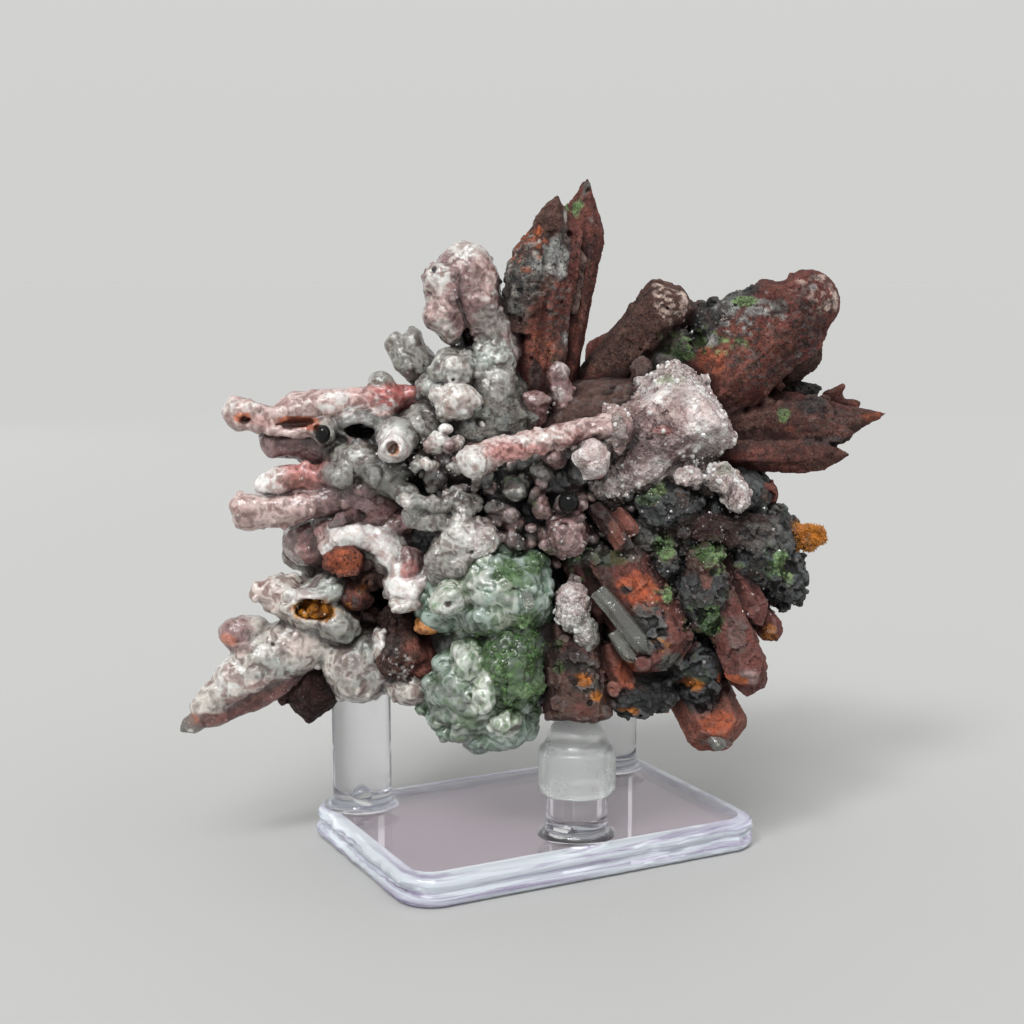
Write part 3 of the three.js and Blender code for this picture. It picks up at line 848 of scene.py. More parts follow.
def stoneMaterial(name, own):
    values = {**plainStone, **own}
    material, tree, surface = newMaterial(name)
    place = addNode(tree, "ShaderNodeTexCoord").outputs["Object"]
    tint = addNode(tree, "ShaderNodeAttribute", attribute_name="tint").outputs["Color"]
    finish = addNode(tree, "ShaderNodeAttribute", attribute_name="finish").outputs["Color"]
    ridge = addNode(tree, "ShaderNodeAttribute", attribute_name="ridge").outputs["Color"]
    streak = addNode(tree, "ShaderNodeAttribute", attribute_name="streak").outputs["Fac"]
    finish = addNode(tree, "ShaderNodeSeparateColor", {"Color": finish})
    ridge = addNode(tree, "ShaderNodeSeparateColor", {"Color": ridge}).outputs
    ridge = addMath(tree, "ADD", addMath(tree, "MULTIPLY", ridge[0], 1 - values["broad"]),
                    addMath(tree, "MULTIPLY", ridge[1], values["broad"]))

    broad = noiseAt(tree, place, 5.0, 4.0, 0.6)
    middle = noiseAt(tree, place, 1.8, 4.0, 0.65, 0.4)
    fine = noiseAt(tree, place, 0.55, 4.0, 0.7)
    other = shaded(tree, tint, values["second"])
    colour = addMix(tree, addRange(tree, broad, 0.40, 0.62, 0, values["mottle"]), tint, other)
    bright = addRange(tree, fine, 0.3, 0.7, 1 - values["speckle"], 1 + values["speckle"])
    cloud = addRange(tree, middle, 0.3, 0.7, 1 - values["cloud"], 1 + values["cloud"])
    line = addRange(tree, streak, -0.8, 0.8, 1 - values["streaks"], 1 + values["streaks"])
    bright = addMath(tree, "MULTIPLY", addMath(tree, "MULTIPLY", bright, cloud), line)
    grey = addNode(tree, "ShaderNodeCombineColor", {0: bright, 1: bright, 2: bright}).outputs[0]
    colour = shaded(tree, colour, grey)
    spread = addRange(tree, finish.outputs["Green"], 0.25, 0.75, values["calm"], 1.0)
    for size, threshold, shade, amount in values["flecks"]:
        spots = addRange(tree, noiseAt(tree, place, size, 3.0, 0.6), threshold, threshold + 0.04, 0, amount)
        colour = addMix(tree, addMath(tree, "MULTIPLY", spread, spots), colour, shade)
    if "film" in values:
        size, core, amount = values["film"]
        thin = addRange(tree, noiseAt(tree, place, size, 4.0, 0.6, 1.0), 0.40, 0.56, amount, 0)
        colour = addMix(tree, thin, colour, shaded(tree, tint, core))
    if "folds" in values:
        deep, foldShadeAmount, lift, paleAmount = values["folds"]
        crest = addNode(tree, "ShaderNodeAttribute", attribute_name="crest").outputs["Fac"]
        # painted shade: the low parts between fold crests darkened toward the tint times deep
        foldShadeShare = addRange(tree, crest, 0.35, 0.82, foldShadeAmount, 0)
        colour = addMix(tree, foldShadeShare, colour, shaded(tree, tint, deep))
        pale = addMix(tree, 1.0, shaded(tree, tint, (lift, lift, lift)), (0.80, 0.82, 0.79), "DARKEN")
        colour = addMix(tree, addRange(tree, crest, 0.88, 0.995, 0, paleAmount), colour, pale)
    # painted light: ridges and convex edges lightened toward a paler colour; the colour named worn is this
    # painted highlight
    high = addRange(tree, ridge, 0.55, 0.9, 0, values["edge"])
    worn = addMix(tree, 0.5, shaded(tree, tint, (1.9, 1.9, 1.9)), values["ridgeLightColour"])
    colour = addMix(tree, high, colour, worn)
    # painted shade: creases and hollows between ridges darkened toward the tint times hollow
    low = addRange(tree, ridge, 0.12, 0.48, values["creviceShade"], 0)
    colour = addMix(tree, low, colour, shaded(tree, tint, values["hollow"]))
    # painted shade: spots deep between the stone's parts darkened toward the tint times the depth shade
    # colour
    deep = addNode(tree, "ShaderNodeAttribute", attribute_name="deep").outputs["Fac"]
    buried = addRange(tree, deep, 0, 1, 0, values["buried"])
    colour = addMix(tree, buried, colour, shaded(tree, tint, values["paintedDepthShade"]))
    tree.links.new(colour, surface.inputs["Base Color"])

    uneven = addRange(tree, middle, 0.3, 0.7, -0.15, 0.15)
    rough = addMath(tree, "ADD", finish.outputs["Red"], uneven, clamp=True)
    glitter = finish.outputs["Blue"]
    rough = addMath(tree, "MULTIPLY", rough, addRange(tree, glitter, 0, 1, 1, 0.35))
    tree.links.new(rough, surface.inputs["Roughness"])
    for socket, value in (
        ("Specular IOR Level", values["shine"]), ("Sheen Weight", values["sheen"]),
        ("Sheen Roughness", 0.35), ("Coat Weight", values["coat"]), ("Coat Roughness", 0.12),
        ("Subsurface Weight", values["glow"]), ("Subsurface Radius", (1.0, 0.75, 0.65)),
        ("Subsurface Scale", 0.0012),
    ):
        surface.inputs[socket].default_value = value

    tiny = noiseAt(tree, place, 0.4, 4.0, 0.65)
    cells = cellsAt(tree, place, values["cellSize"])
    height = addMath(tree, "ADD", addMath(tree, "MULTIPLY", tiny, values["grit"]),
                     addMath(tree, "MULTIPLY", cells, -values["cells"]))
    bump = addNode(tree, "ShaderNodeBump",
                   {"Height": height, "Strength": values["bump"], "Distance": 0.0004})
    facets = cellsAt(tree, place, 0.45, "F1", "Color")
    tilt = addNode(tree, "ShaderNodeVectorMath", {0: facets, 1: (0.5, 0.5, 0.5)}, operation="SUBTRACT")
    amount = addMath(tree, "MULTIPLY", glitter, values["glint"])
    tilt = addNode(tree, "ShaderNodeVectorMath", {0: tilt.outputs[0], "Scale": amount}, operation="SCALE")
    turned = addNode(tree, "ShaderNodeVectorMath", {0: bump.outputs[0], 1: tilt.outputs[0]}, operation="ADD")
    turned = addNode(tree, "ShaderNodeVectorMath", {0: turned.outputs[0]}, operation="NORMALIZE")
    tree.links.new(turned.outputs[0], surface.inputs["Normal"])
    tree.links.new(turned.outputs[0], surface.inputs["Coat Normal"])
    return material


rustSkin = stoneMaterial("rusty_crystal", {
    "mottle": 0.7, "second": (0.56, 0.48, 0.5), "speckle": 0.48, "cloud": 0.45, "streaks": 0.14,
    "flecks": [(1.2, 0.6, (0.088, 0.066, 0.056), 0.5), (0.7, 0.58, (0.014, 0.009, 0.009), 0.85),
               (0.4, 0.64, (0.3, 0.22, 0.2), 0.6), (3, 0.58, (0.048, 0.031, 0.03), 0.6)],
    "creviceShade": 0.9, "hollow": (0.12, 0.1, 0.12), "edge": 0.2, "ridgeLightColour": (0.22, 0.13, 0.1),
    "shine": 0.15, "glint": 0.6, "grit": 1, "cells": 0.3, "broad": 0.3,
})
chalcedony = stoneMaterial("chalcedony_coat", {
    "mottle": 0.45, "second": (0.6, 0.43, 0.42),
    "flecks": [(1.4, 0.66, (0.66, 0.64, 0.62), 0.6), (0.9, 0.63, (0.7, 0.68, 0.66), 0.55),
               (0.8, 0.66, (0.05, 0.025, 0.02), 0.6)],
    "creviceShade": 0.95, "hollow": (0.08, 0.05, 0.045), "edge": 0.35, "ridgeLightColour": (0.66, 0.62, 0.59),
    "sheen": 0.05, "coat": 0.8, "glow": 0.12, "glint": 0.8, "cells": 0.2, "bump": 0.45, "broad": 0.85,
    "film": (3.4, (0.5, 0.34, 0.32), 0.75), "folds": ((0.46, 0.31, 0.29), 0.55, 2.1, 0.5),
})
mintCrust = stoneMaterial("mint_crust", {
    "second": (0.3, 0.48, 0.3), "cloud": 0.25, "flecks": [(1.2, 0.68, (0.66, 0.7, 0.66), 0.4)],
    "creviceShade": 0.9, "hollow": (0.07, 0.16, 0.06), "edge": 0.25, "ridgeLightColour": (0.5, 0.56, 0.5),
    "sheen": 0.08, "coat": 0.9, "glow": 0.1, "glint": 0.8, "grit": 0.35, "cells": 0.15, "cellSize": 0.9,
    "bump": 0.4, "broad": 0.85, "film": (3, (0.22, 0.42, 0.2), 0.7),
    "folds": ((0.24, 0.38, 0.2), 0.6, 1.9, 0.45), "paintedDepthShade": (0.12, 0.2, 0.09),
})
druseSkin = stoneMaterial("white_druse", {
    "mottle": 0.7, "second": (0.62, 0.45, 0.44), "speckle": 0.3,
    "flecks": [(1.2, 0.62, (0.74, 0.73, 0.72), 0.7), (0.7, 0.66, (0.1, 0.05, 0.045), 0.6)],
    "creviceShade": 0.8, "hollow": (0.18, 0.12, 0.12), "edge": 0.4, "ridgeLightColour": (0.75, 0.72, 0.7),
    "coat": 0.6, "glow": 0.1, "glint": 1.2, "grit": 0.8, "cells": 0.8, "cellSize": 0.6, "bump": 0.8,
    "film": (4, (0.5, 0.34, 0.33), 0.7),
})
matrixSkin = stoneMaterial("dark_matrix", {
    "second": (0.85, 0.62, 0.58), "speckle": 0.35, "cloud": 0.4, "streaks": 0.1,
    "flecks": [(2.6, 0.57, (0.095, 0.115, 0.125), 0.5), (3.4, 0.6, (0.05, 0.085, 0.045), 0.5),
               (2.8, 0.62, (0.12, 0.05, 0.032), 0.5), (0.9, 0.68, (0.16, 0.05, 0.03), 0.6),
               (0.5, 0.7, (0.4, 0.42, 0.41), 0.8)],
    "creviceShade": 0.9, "hollow": (0.08, 0.08, 0.09), "edge": 0.45, "ridgeLightColour": (0.19, 0.2, 0.205),
    "shine": 0.28, "coat": 0.06, "glint": 1.4, "grit": 1, "cells": 0.5, "broad": 0.3, "calm": 0.25,
})
druseGlass = stoneMaterial("druse_points", {
    "mottle": 0.2, "second": (0.8, 0.7, 0.7), "cloud": 0.25, "shine": 0.6, "coat": 1, "glow": 0.15,
    "grit": 0.2, "bump": 0.2,
})
darkGlass = stoneMaterial("dark_points", {
    "second": (1.2, 0.8, 0.7), "speckle": 0.25, "cloud": 0.45, "shine": 0.6, "coat": 0.6, "glint": 0.5,
    "bump": 0.3,
})
greenSkin = stoneMaterial("green_beads", {
    "second": (0.5, 0.6, 0.5), "speckle": 0.2, "shine": 0.4, "sheen": 0.1, "coat": 0.2, "glow": 0.1,
    "grit": 0.8, "bump": 0.5,
})
ochreSkin = stoneMaterial("ochre_needles", {
    "second": (0.5, 0.4, 0.4), "speckle": 0.2, "cloud": 0.4, "shine": 0.4, "sheen": 0.1, "glow": 0.1,
    "grit": 0.6, "bump": 0.4,
})
blackGlass = stoneMaterial("black_glass", {
    "mottle": 0, "cloud": 0.2, "shine": 0.25, "glint": 0, "grit": 0.1, "bump": 0.1,
})
print("stone materials made")

# the clear stand: plate and pegs in one, and the soft tip on the front peg

standValues = {
    "length": 82.5, "depth": 57.2, "thick": 6.35, "corner": 8, "pegRadius": 6.35,
    "pegs": [(-31, 20.5, 31.75), (31, 20.5, 31.75), (1, -17.4, 25.4)],
    "edge": [
        (0, -3.4), (0, -1.5), (0.25, -0.75), (0.75, -0.25), (1.4, -0.02), (2, -0.12), (2.5, -0.45),
        (2.85, -0.75), (3.2, -0.7), (3.7, -0.3), (4.3, -0.05), (4.9, -0.1), (5.45, -0.45), (5.9, -0.95),
        (6.2, -1.6), (6.35, -2.4), (6.35, -3.4),
    ],
    "foot": [
        (1.9, 0.02), (1.5, 0.1), (1, 0.28), (0.6, 0.6), (0.25, 1.2), (0.05, 2), (0, 2.8),
    ],
    "ripple": 0.1, "chipped": 0.55, "chipSize": 2.4, "chippedLeft": -36, "chippedFront": -24,
    "chippedFrom": 6, "drop": ((-33.8, 13.8, 10.2), (2.1, 2.1, 2.4)),
    "tip": {"radius": 8, "bore": 6.65, "lip": 15.2, "seat": 25.4, "dome": 6.3}, "sides": 72,
}


def pieceFrom(name, points, faces, material, slot=None):
    mesh = bpy.data.meshes.new(name)
    mesh.from_pydata([tuple(point) for point in np.asarray(points) * mm], [], faces)
    mesh.update()
    mesh.polygons.foreach_set("use_smooth", np.ones(len(mesh.polygons), bool))
    mesh.materials.append(material)
    piece = addObject(name, mesh)
    if slot:
        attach(piece, "root")
    return piece


def plateMesh(values):
    # the outline of the plate, swept by the profile of its rolled edge
    outline = []
    corner = values["corner"]
    halfX, halfY = values["length"] / 2 - corner, values["depth"] / 2 - corner
    for turn, (x, y) in enumerate(((halfX, halfY), (-halfX, halfY), (-halfX, -halfY), (halfX, -halfY))):
        for k in range(25):
            angle = math.pi / 2 * (turn + k / 24)
            outline.append((x, y, math.cos(angle), math.sin(angle)))
        if turn % 2 == 0:
            outline += [(x - 2 * x * k / 60, y, 0, math.copysign(1, y)) for k in range(1, 60)]
        else:
            outline += [(x, y - 2 * y * k / 40, math.copysign(1, x), 0) for k in range(1, 40)]
    outline = np.array(outline)
    points = []
    for z, inward in values["edge"]:
        place = outline[:, :2] + outline[:, 2:] * (corner + inward)
        full = np.column_stack([place, np.full(len(place), z)])
        chipped = np.clip((values["chippedLeft"] - full[:, 0]) / 2, 0, 1)
        front = np.clip((values["chippedFront"] - full[:, 1]) / 2, 0, 1)
        front = front * np.clip((full[:, 0] - values["chippedFrom"]) / 6, 0, 1)
        amount = values["ripple"] + (values["chipped"] - values["ripple"]) * np.maximum(chipped, front)
        middle = math.sin(math.pi * z / values["thick"])
        wave = pointNoise(full, values["chipSize"], 5)
        wave = wave + 0.6 * pointNoise(full * np.array([1, 1, 2.2]), 1.1, 6)
        full[:, :2] += outline[:, 2:] * (amount * (wave - 0.8) * middle)[:, None]
        points.append(full)
    points = np.concatenate(points)
    count, rings = len(outline), len(values["edge"])
    faces = []
    for ring in range(rings - 1):
        for k in range(count):
            a, b = ring * count + k, ring * count + (k + 1) % count
            faces.append((a, b, b + count, a + count))
    faces.append(tuple(reversed(range(count))))
    faces.append(tuple(range((rings - 1) * count, rings * count)))
    return points, faces


def turnedMesh(profile, x, y, sides):
    # a closed profile of (radius, z) turned about an upright line; it starts and ends on the line
    points, faces = [(x, y, profile[0][1])], []
    for radius, z in profile[1:-1]:
        angles = 2 * math.pi * np.arange(sides) / sides
        points += [(x + radius * math.cos(a), y + radius * math.sin(a), z) for a in angles]
    points.append((x, y, profile[-1][1]))
    last = len(points) - 1
    for k in range(sides):
        faces.append((0, 1 + (k + 1) % sides, 1 + k))
        for ring in range(len(profile) - 3):
            a, b = 1 + ring * sides + k, 1 + ring * sides + (k + 1) % sides
            faces.append((a, b, b + sides, a + sides))
        ring = 1 + (len(profile) - 3) * sides
        faces.append((ring + k, ring + (k + 1) % sides, last))
    return points, faces


def roundOff(centre, radius, start, stop, steps):
    angles = [math.radians(start + (stop - start) * k / steps) for k in range(steps + 1)]
    return [(centre[0] + radius * math.cos(a), centre[1] + radius * math.sin(a)) for a in angles]


def joinPiece(piece, other):
    modifier = piece.modifiers.new("join", "BOOLEAN")
    modifier.operation = "UNION"
    modifier.solver = "EXACT"
    modifier.object = other
    bakeModifiers(piece)
    old = other.data
    bpy.data.objects.remove(other)
    bpy.data.meshes.remove(old)


def clearMaterial(name, values):
    material, tree, surface = newMaterial(name)
    surface.inputs["Base Color"].default_value = (*values["colour"], 1)
    surface.inputs["Transmission Weight"].default_value = values["clear"]
    surface.inputs["IOR"].default_value = values["bend"]
    place = addNode(tree, "ShaderNodeTexCoord").outputs["Object"]
    smear = noiseAt(tree, place, values["smear"], 3.0)
    rough = addRange(tree, smear, 0.35, 0.75, values["rough"][0], values["rough"][1])
    tree.links.new(rough, surface.inputs["Roughness"])
    fine = noiseAt(tree, place, values["grain"], 4.0, 0.6)
    bump = addNode(tree, "ShaderNodeBump", {"Height": fine, "Strength": values["bump"], "Distance": 0.0002})
    tree.links.new(bump.outputs[0], surface.inputs["Normal"])
    # painted highlights: the streaks mix a milky pale colour with less transmission into the glass, for
    # bright light caught in the rolled edge
    if "streaks" in values:
        size, flatter, milky, shade = values["streaks"]
        wide = addNode(tree, "ShaderNodeVectorMath", {0: place, 1: (1, 1, flatter)}, operation="MULTIPLY")
        share = addRange(tree, noiseAt(tree, wide.outputs[0], size, 4.0, 0.6, 0.6), 0.34, 0.54)
        tree.links.new(addMix(tree, share, values["colour"], shade), surface.inputs["Base Color"])
        clear = addRange(tree, share, 0, 1, values["clear"], milky)
        tree.links.new(clear, surface.inputs["Transmission Weight"])
    if "density" in values:
        inside = addNode(tree, "ShaderNodeVolumeAbsorption",
                         {"Color": (*values["tint"], 1), "Density": values["density"]})
        tree.links.new(inside.outputs[0], tree.nodes["Material Output"].inputs["Volume"])
    return material


clearAcrylic = clearMaterial("clear_acrylic", {
    "colour": (0.97, 0.97, 0.985), "clear": 0.96, "bend": 1.49, "smear": 9.0, "rough": (0.0, 0.03),
    "grain": 4.0, "bump": 0.03,
})
plateAcrylic = clearMaterial("plate_acrylic", {
    "colour": (0.975, 0.875, 0.955), "clear": 0.95, "bend": 1.49, "smear": 9.0, "rough": (0.0, 0.03),
    "grain": 4.0, "bump": 0.03,
})
# painted highlights: milky bright streaks along the rolled edge
edgeAcrylic = clearMaterial("edge_acrylic", {
    "colour": (0.70, 0.60, 0.90), "clear": 0.80, "bend": 1.49, "smear": 1.6, "rough": (0.01, 0.12),
    "grain": 1.4, "bump": 0.18, "streaks": (34.0, 26.0, 0.42, (0.86, 0.93, 1.0)),
})
clearQuartz = clearMaterial("clear_quartz", {
    "colour": (0.78, 0.80, 0.74), "clear": 0.90, "bend": 1.544, "smear": 1.5, "rough": (0.02, 0.25),
    "grain": 0.8, "bump": 0.25, "tint": (0.72, 0.72, 0.62), "density": 45.0,
})
softTip = clearMaterial("frosted_tip", {
    "colour": (0.95, 0.97, 0.96), "clear": 0.82, "bend": 1.42, "smear": 5.0, "rough": (0.16, 0.34),
    "grain": 1.2, "bump": 0.12,
})


def makeStand(values):
    stand = pieceFrom("clear_stand", *plateMesh(values), clearAcrylic)
    stand.data.materials.append(plateAcrylic)
    stand.data.materials.append(edgeAcrylic)
    around = [2] * (len(stand.data.polygons) - 2) + [1, 1]
    stand.data.polygons.foreach_set("material_index", around)
    thick, radius, sides = values["thick"], values["pegRadius"], values["sides"]
    for x, y, top in values["pegs"]:
        profile = [(0, thick - 1.5), (radius + values["foot"][0][0], thick - 1.5)]
        profile += [(radius + wide, thick + rise) for wide, rise in values["foot"]]
        profile += roundOff((radius - 0.7, top - 0.7), 0.7, 0, 90, 4) + [(0, top)]
        joinPiece(stand, pieceFrom("peg", *turnedMesh(profile, x, y, sides), clearAcrylic))
    centre, radii = values["drop"]
    profile = [(math.sin(math.pi * k / 24), -math.cos(math.pi * k / 24)) for k in range(25)]
    points, faces = turnedMesh([(0, -1)] + profile[1:-1] + [(0, 1)], 0, 0, 36)
    points = np.array(points) * np.array(radii)
    points[:, 0] += np.clip(-points[:, 2], 0, 3) ** 2 * 0.25
    joinPiece(stand, pieceFrom("drop", points + np.array(centre), faces, clearAcrylic))
    stand.data.set_sharp_from_angle(angle=math.radians(32))
    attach(stand, "root")
    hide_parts("base_plate", "peg_front", "peg_back_left", "peg_back_right")

    tip = values["tip"]
    x, y, top = values["pegs"][2]
    profile = [(0, tip["seat"] + 0.1), (tip["bore"] - 0.6, tip["seat"] + 0.1)]
    profile += [(tip["bore"], tip["seat"] - 0.4)]
    profile += [(tip["bore"], z) for z in (24, 20, 17, tip["lip"] + 0.7)]
    profile += roundOff((tip["radius"] - 0.65, tip["lip"] + 0.65), 0.65, 180, 360, 10)
    profile += [(tip["radius"], z) for z in (17, 20, 22.6)]
    profile += roundOff((tip["radius"] - 1.7, tip["seat"] - 1.9), 1.7, 0, 62, 8)
    profile += roundOff((0, tip["seat"]), tip["dome"], 6, 84, 14) + [(0, tip["seat"] + tip["dome"])]
    softCap = pieceFrom("frosted_cap", *turnedMesh(profile, x, y, sides), softTip, "soft_tip")
    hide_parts("peg_cap")


makeStand(standValues)
print("clear stand made")


# what repeats on the surface: pointed crystals, beads and needles set by one node tree


def makeScatterTree():
    tree = bpy.data.node_groups.new("strewn_growths", "GeometryNodeTree")
    tree.interface.new_socket("Geometry", in_out="INPUT", socket_type="NodeSocketGeometry")
    for name in ("Density", "Least Radius", "Most Radius", "Slimness", "Lean", "Sink"):
        tree.interface.new_socket(name, in_out="INPUT", socket_type="NodeSocketFloat")
    tree.interface.new_socket("Round", in_out="INPUT", socket_type="NodeSocketBool")
    tree.interface.new_socket("Seed", in_out="INPUT", socket_type="NodeSocketInt")
    tree.interface.new_socket("Material", in_out="INPUT", socket_type="NodeSocketMaterial")
    tree.interface.new_socket("Geometry", in_out="OUTPUT", socket_type="NodeSocketGeometry")
    source, result = tree.nodes.new("NodeGroupInput"), tree.nodes.new("NodeGroupOutput")
    mask = addNode(tree, "GeometryNodeInputNamedAttribute", {"Name": "mask"}, data_type="FLOAT")
    density = addMath(tree, "MULTIPLY", mask.outputs["Attribute"], source.outputs["Density"])
    spread = addNode(tree, "GeometryNodeDistributePointsOnFaces",
                     {"Mesh": source.outputs["Geometry"], "Density": density,
                      "Seed": source.outputs["Seed"]})

    prism = addNode(tree, "GeometryNodeMeshCylinder",
                    {"Vertices": 6, "Side Segments": 2, "Radius": 1.0, "Depth": 1.0})
    place = addNode(tree, "GeometryNodeInputPosition").outputs[0]
    split = addNode(tree, "ShaderNodeSeparateXYZ", {0: place})
    narrow = addRange(tree, split.outputs["Z"], 0.1, 0.5, 1.0, 0.08)
    across = addNode(tree, "ShaderNodeCombineXYZ", {0: addMath(tree, "MULTIPLY", split.outputs["X"], narrow),
                                                    1: addMath(tree, "MULTIPLY", split.outputs["Y"], narrow),
                                                    2: split.outputs["Z"]})
    pointed = addNode(tree, "GeometryNodeSetPosition",
                      {"Geometry": prism.outputs["Mesh"], "Position": across.outputs[0]})
    ball = addNode(tree, "GeometryNodeMeshUVSphere", {"Radius": 1.0, "Segments": 8, "Rings": 5})
    smooth = addNode(tree, "GeometryNodeSetShadeSmooth", {"Geometry": ball.outputs["Mesh"]})
    choice = addNode(tree, "GeometryNodeSwitch", input_type="GEOMETRY")
    tree.links.new(source.outputs["Round"], choice.inputs[0])
    tree.links.new(pointed.outputs[0], choice.inputs["False"])
    tree.links.new(smooth.outputs[0], choice.inputs["True"])

    size = addNode(tree, "FunctionNodeRandomValue", {"Min": 0.0, "Max": 1.0, "Seed": source.outputs["Seed"]},
                   data_type="FLOAT")
    size = next(socket for socket in size.outputs if socket.enabled and socket.type == "VALUE")
    size = addMath(tree, "POWER", size, 2.0)
    span = addMath(tree, "SUBTRACT", source.outputs["Most Radius"], source.outputs["Least Radius"])
    radius = addMath(tree, "ADD", addMath(tree, "MULTIPLY", size, span), source.outputs["Least Radius"])
    tall = addMath(tree, "MULTIPLY", radius, source.outputs["Slimness"])
    scale = addNode(tree, "ShaderNodeCombineXYZ", {0: radius, 1: radius, 2: tall}).outputs[0]
    lean = addNode(tree, "FunctionNodeRandomValue", {"Seed": source.outputs["Seed"]},
                   data_type="FLOAT_VECTOR")
    low = addMath(tree, "MULTIPLY", source.outputs["Lean"], -1.0)
    for socket, value in ((lean.inputs[0], low), (lean.inputs[1], source.outputs["Lean"])):
        tree.links.new(value, socket)
    turn = addNode(tree, "FunctionNodeEulerToRotation", {0: lean.outputs[0]})
    turned = addNode(tree, "FunctionNodeRotateRotation", {0: spread.outputs["Rotation"], 1: turn.outputs[0]},
                     rotation_space="LOCAL")
    placed = addNode(tree, "GeometryNodeInstanceOnPoints",
                     {"Points": spread.outputs["Points"], "Instance": choice.outputs[0],
                      "Rotation": turned.outputs[0], "Scale": scale})
    down = addMath(tree, "MULTIPLY", tall, addMath(tree, "MULTIPLY", source.outputs["Sink"], -1.0))
    shift = addNode(tree, "ShaderNodeCombineXYZ", {2: down}).outputs[0]
    moved = addNode(tree, "GeometryNodeTranslateInstances",
                    {"Instances": placed.outputs[0], "Translation": shift})
    solid = addNode(tree, "GeometryNodeRealizeInstances", {0: moved.outputs[0]})
    painted = addNode(tree, "GeometryNodeSetMaterial", {"Geometry": solid.outputs[0],
                                                        "Material": source.outputs["Material"]})
    tree.links.new(painted.outputs[0], result.inputs[0])
    return tree


scatterTree = makeScatterTree()


def readPoints(piece):
    return readArray(piece.data.vertices, "co", 3).astype(np.float64)


def readColours(piece, name):
    return readArray(piece.data.attributes[name].data, "color", 4)[:, :3]


def spotMask(points, tint, finish, values):
    # where a growth stands: chosen spots, sparkling or green surface, broken up by noise
    mask = np.zeros(len(points))
    if "sparkle" in values:
        mask += values["sparkle"] * finish[:, 2]
    if "green" in values:
        greener = tint[:, 1] - 1.35 * np.maximum(tint[:, 0], tint[:, 2])
        mask += values["green"] * np.clip(greener / 0.03, 0, 1)
    for centre, radii, amount in values.get("spots", []):
        away = (points - np.array(centre)) / np.array(radii)
        mask += amount * np.clip(1.6 - 1.5 * np.sqrt((away ** 2).sum(1)), 0, 1)
    patchy = 0.5 + 0.9 * pointNoise(points, values.get("patch", 2.5), 33)
    return np.clip(mask, 0, 1) * np.clip(patchy + values.get("cover", 0.2), 0, 1)


def toStone(points):
    # back from the stand's frame in metres to the stone's frame in mm
    turned = np.empty_like(points)
    turned[:, 0] = points[:, 0] * math.cos(stoneTurn) + points[:, 1] * math.sin(stoneTurn)
    turned[:, 1] = -points[:, 0] * math.sin(stoneTurn) + points[:, 1] * math.cos(stoneTurn)
    turned[:, 2] = points[:, 2]
    return turned / mm


def strewGrowths(name, sources, values, material):
    points = np.concatenate([readPoints(piece) for piece in sources])
    tint = np.concatenate([readColours(piece, "tint") for piece in sources])
    finish = np.concatenate([readColours(piece, "finish") for piece in sources])
    faces, start = [], 0
    for piece in sources:
        corners = readArray(piece.data.loops, "vertex_index", 1, np.int32)
        faces.append(corners.reshape(-1, 4) + start)
        start += len(piece.data.vertices)
    mesh = meshFrom(name, points, np.concatenate(faces))
    mixed = tint * (1 - values["own"]) + np.array(values["colour"]) * values["own"]
    addColour(mesh, "tint", mixed)
    addColour(mesh, "finish", np.column_stack([np.full(len(points), values["rough"]), finish[:, 1:]]))
    mask = spotMask(toStone(points), tint, finish, values)
    addNumber(mesh, "mask", mask)
    piece = addObject(name, mesh)
    modifier = piece.modifiers.new("growths", "NODES")
    modifier.node_group = scatterTree
    setInputs(modifier, scatterTree, {
        "Density": values["perSquare"] * 1e6, "Least Radius": values["radius"][0] * mm,
        "Most Radius": values["radius"][1] * mm, "Slimness": values["slim"], "Lean": values["lean"],
        "Sink": values["sink"], "Round": values.get("round", False), "Seed": values["seed"],
        "Material": material,
    })
    bakeModifiers(piece)
    mesh = piece.data
    addColour(mesh, "ridge", np.full((len(mesh.vertices), 2), 0.5, np.float32))
    mesh.attributes.new("streak", "FLOAT", "POINT")
    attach(piece, "root")
    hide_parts("quartz_cluster")
    mesh.calc_loop_triangles()
    print(f"{name}: {len(mesh.loop_triangles)} triangles")
    return piece


# the pieces of the stone, in mm in the stone's own frame:
# crystals: mineral, root, tip, radius, length of the point, turn
# fingers: mineral, then x, y, z and radius at each bend; lumps: mineral, centre, radii
# patches: mineral, centre, radii, amount and, where the patch is broken up, its speck size
# strewn: kind, minerals, amount, centre, radii, side, radius, length, seed
# knobs: amount, least, most, style; hollows: centre, radii; relief: in the order of reliefInputs
pegRoom = [(-31, 20.5, 6.5, 31.9), (31, 20.5, 6.5, 31.9), (1, -17.4, 8.15, 31.75)]  # x, y, radius, top


def pegPockets(grown):
    # room for the pegs and the soft tip
    axes = grown["axes"]
    for x, y, radius, top in pegRoom:
        u = x * math.cos(stoneTurn) + y * math.sin(stoneTurn)
        v = -x * math.sin(stoneTurn) + y * math.cos(stoneTurn)
        across = np.hypot(axes[0][:, None] - u, axes[1][None, :] - v)[:, :, None] - radius
        cut = np.maximum(across, axes[2][None, None, :] - top).astype(np.float32)
        np.maximum(grown["field"], -cut, out=grown["field"])


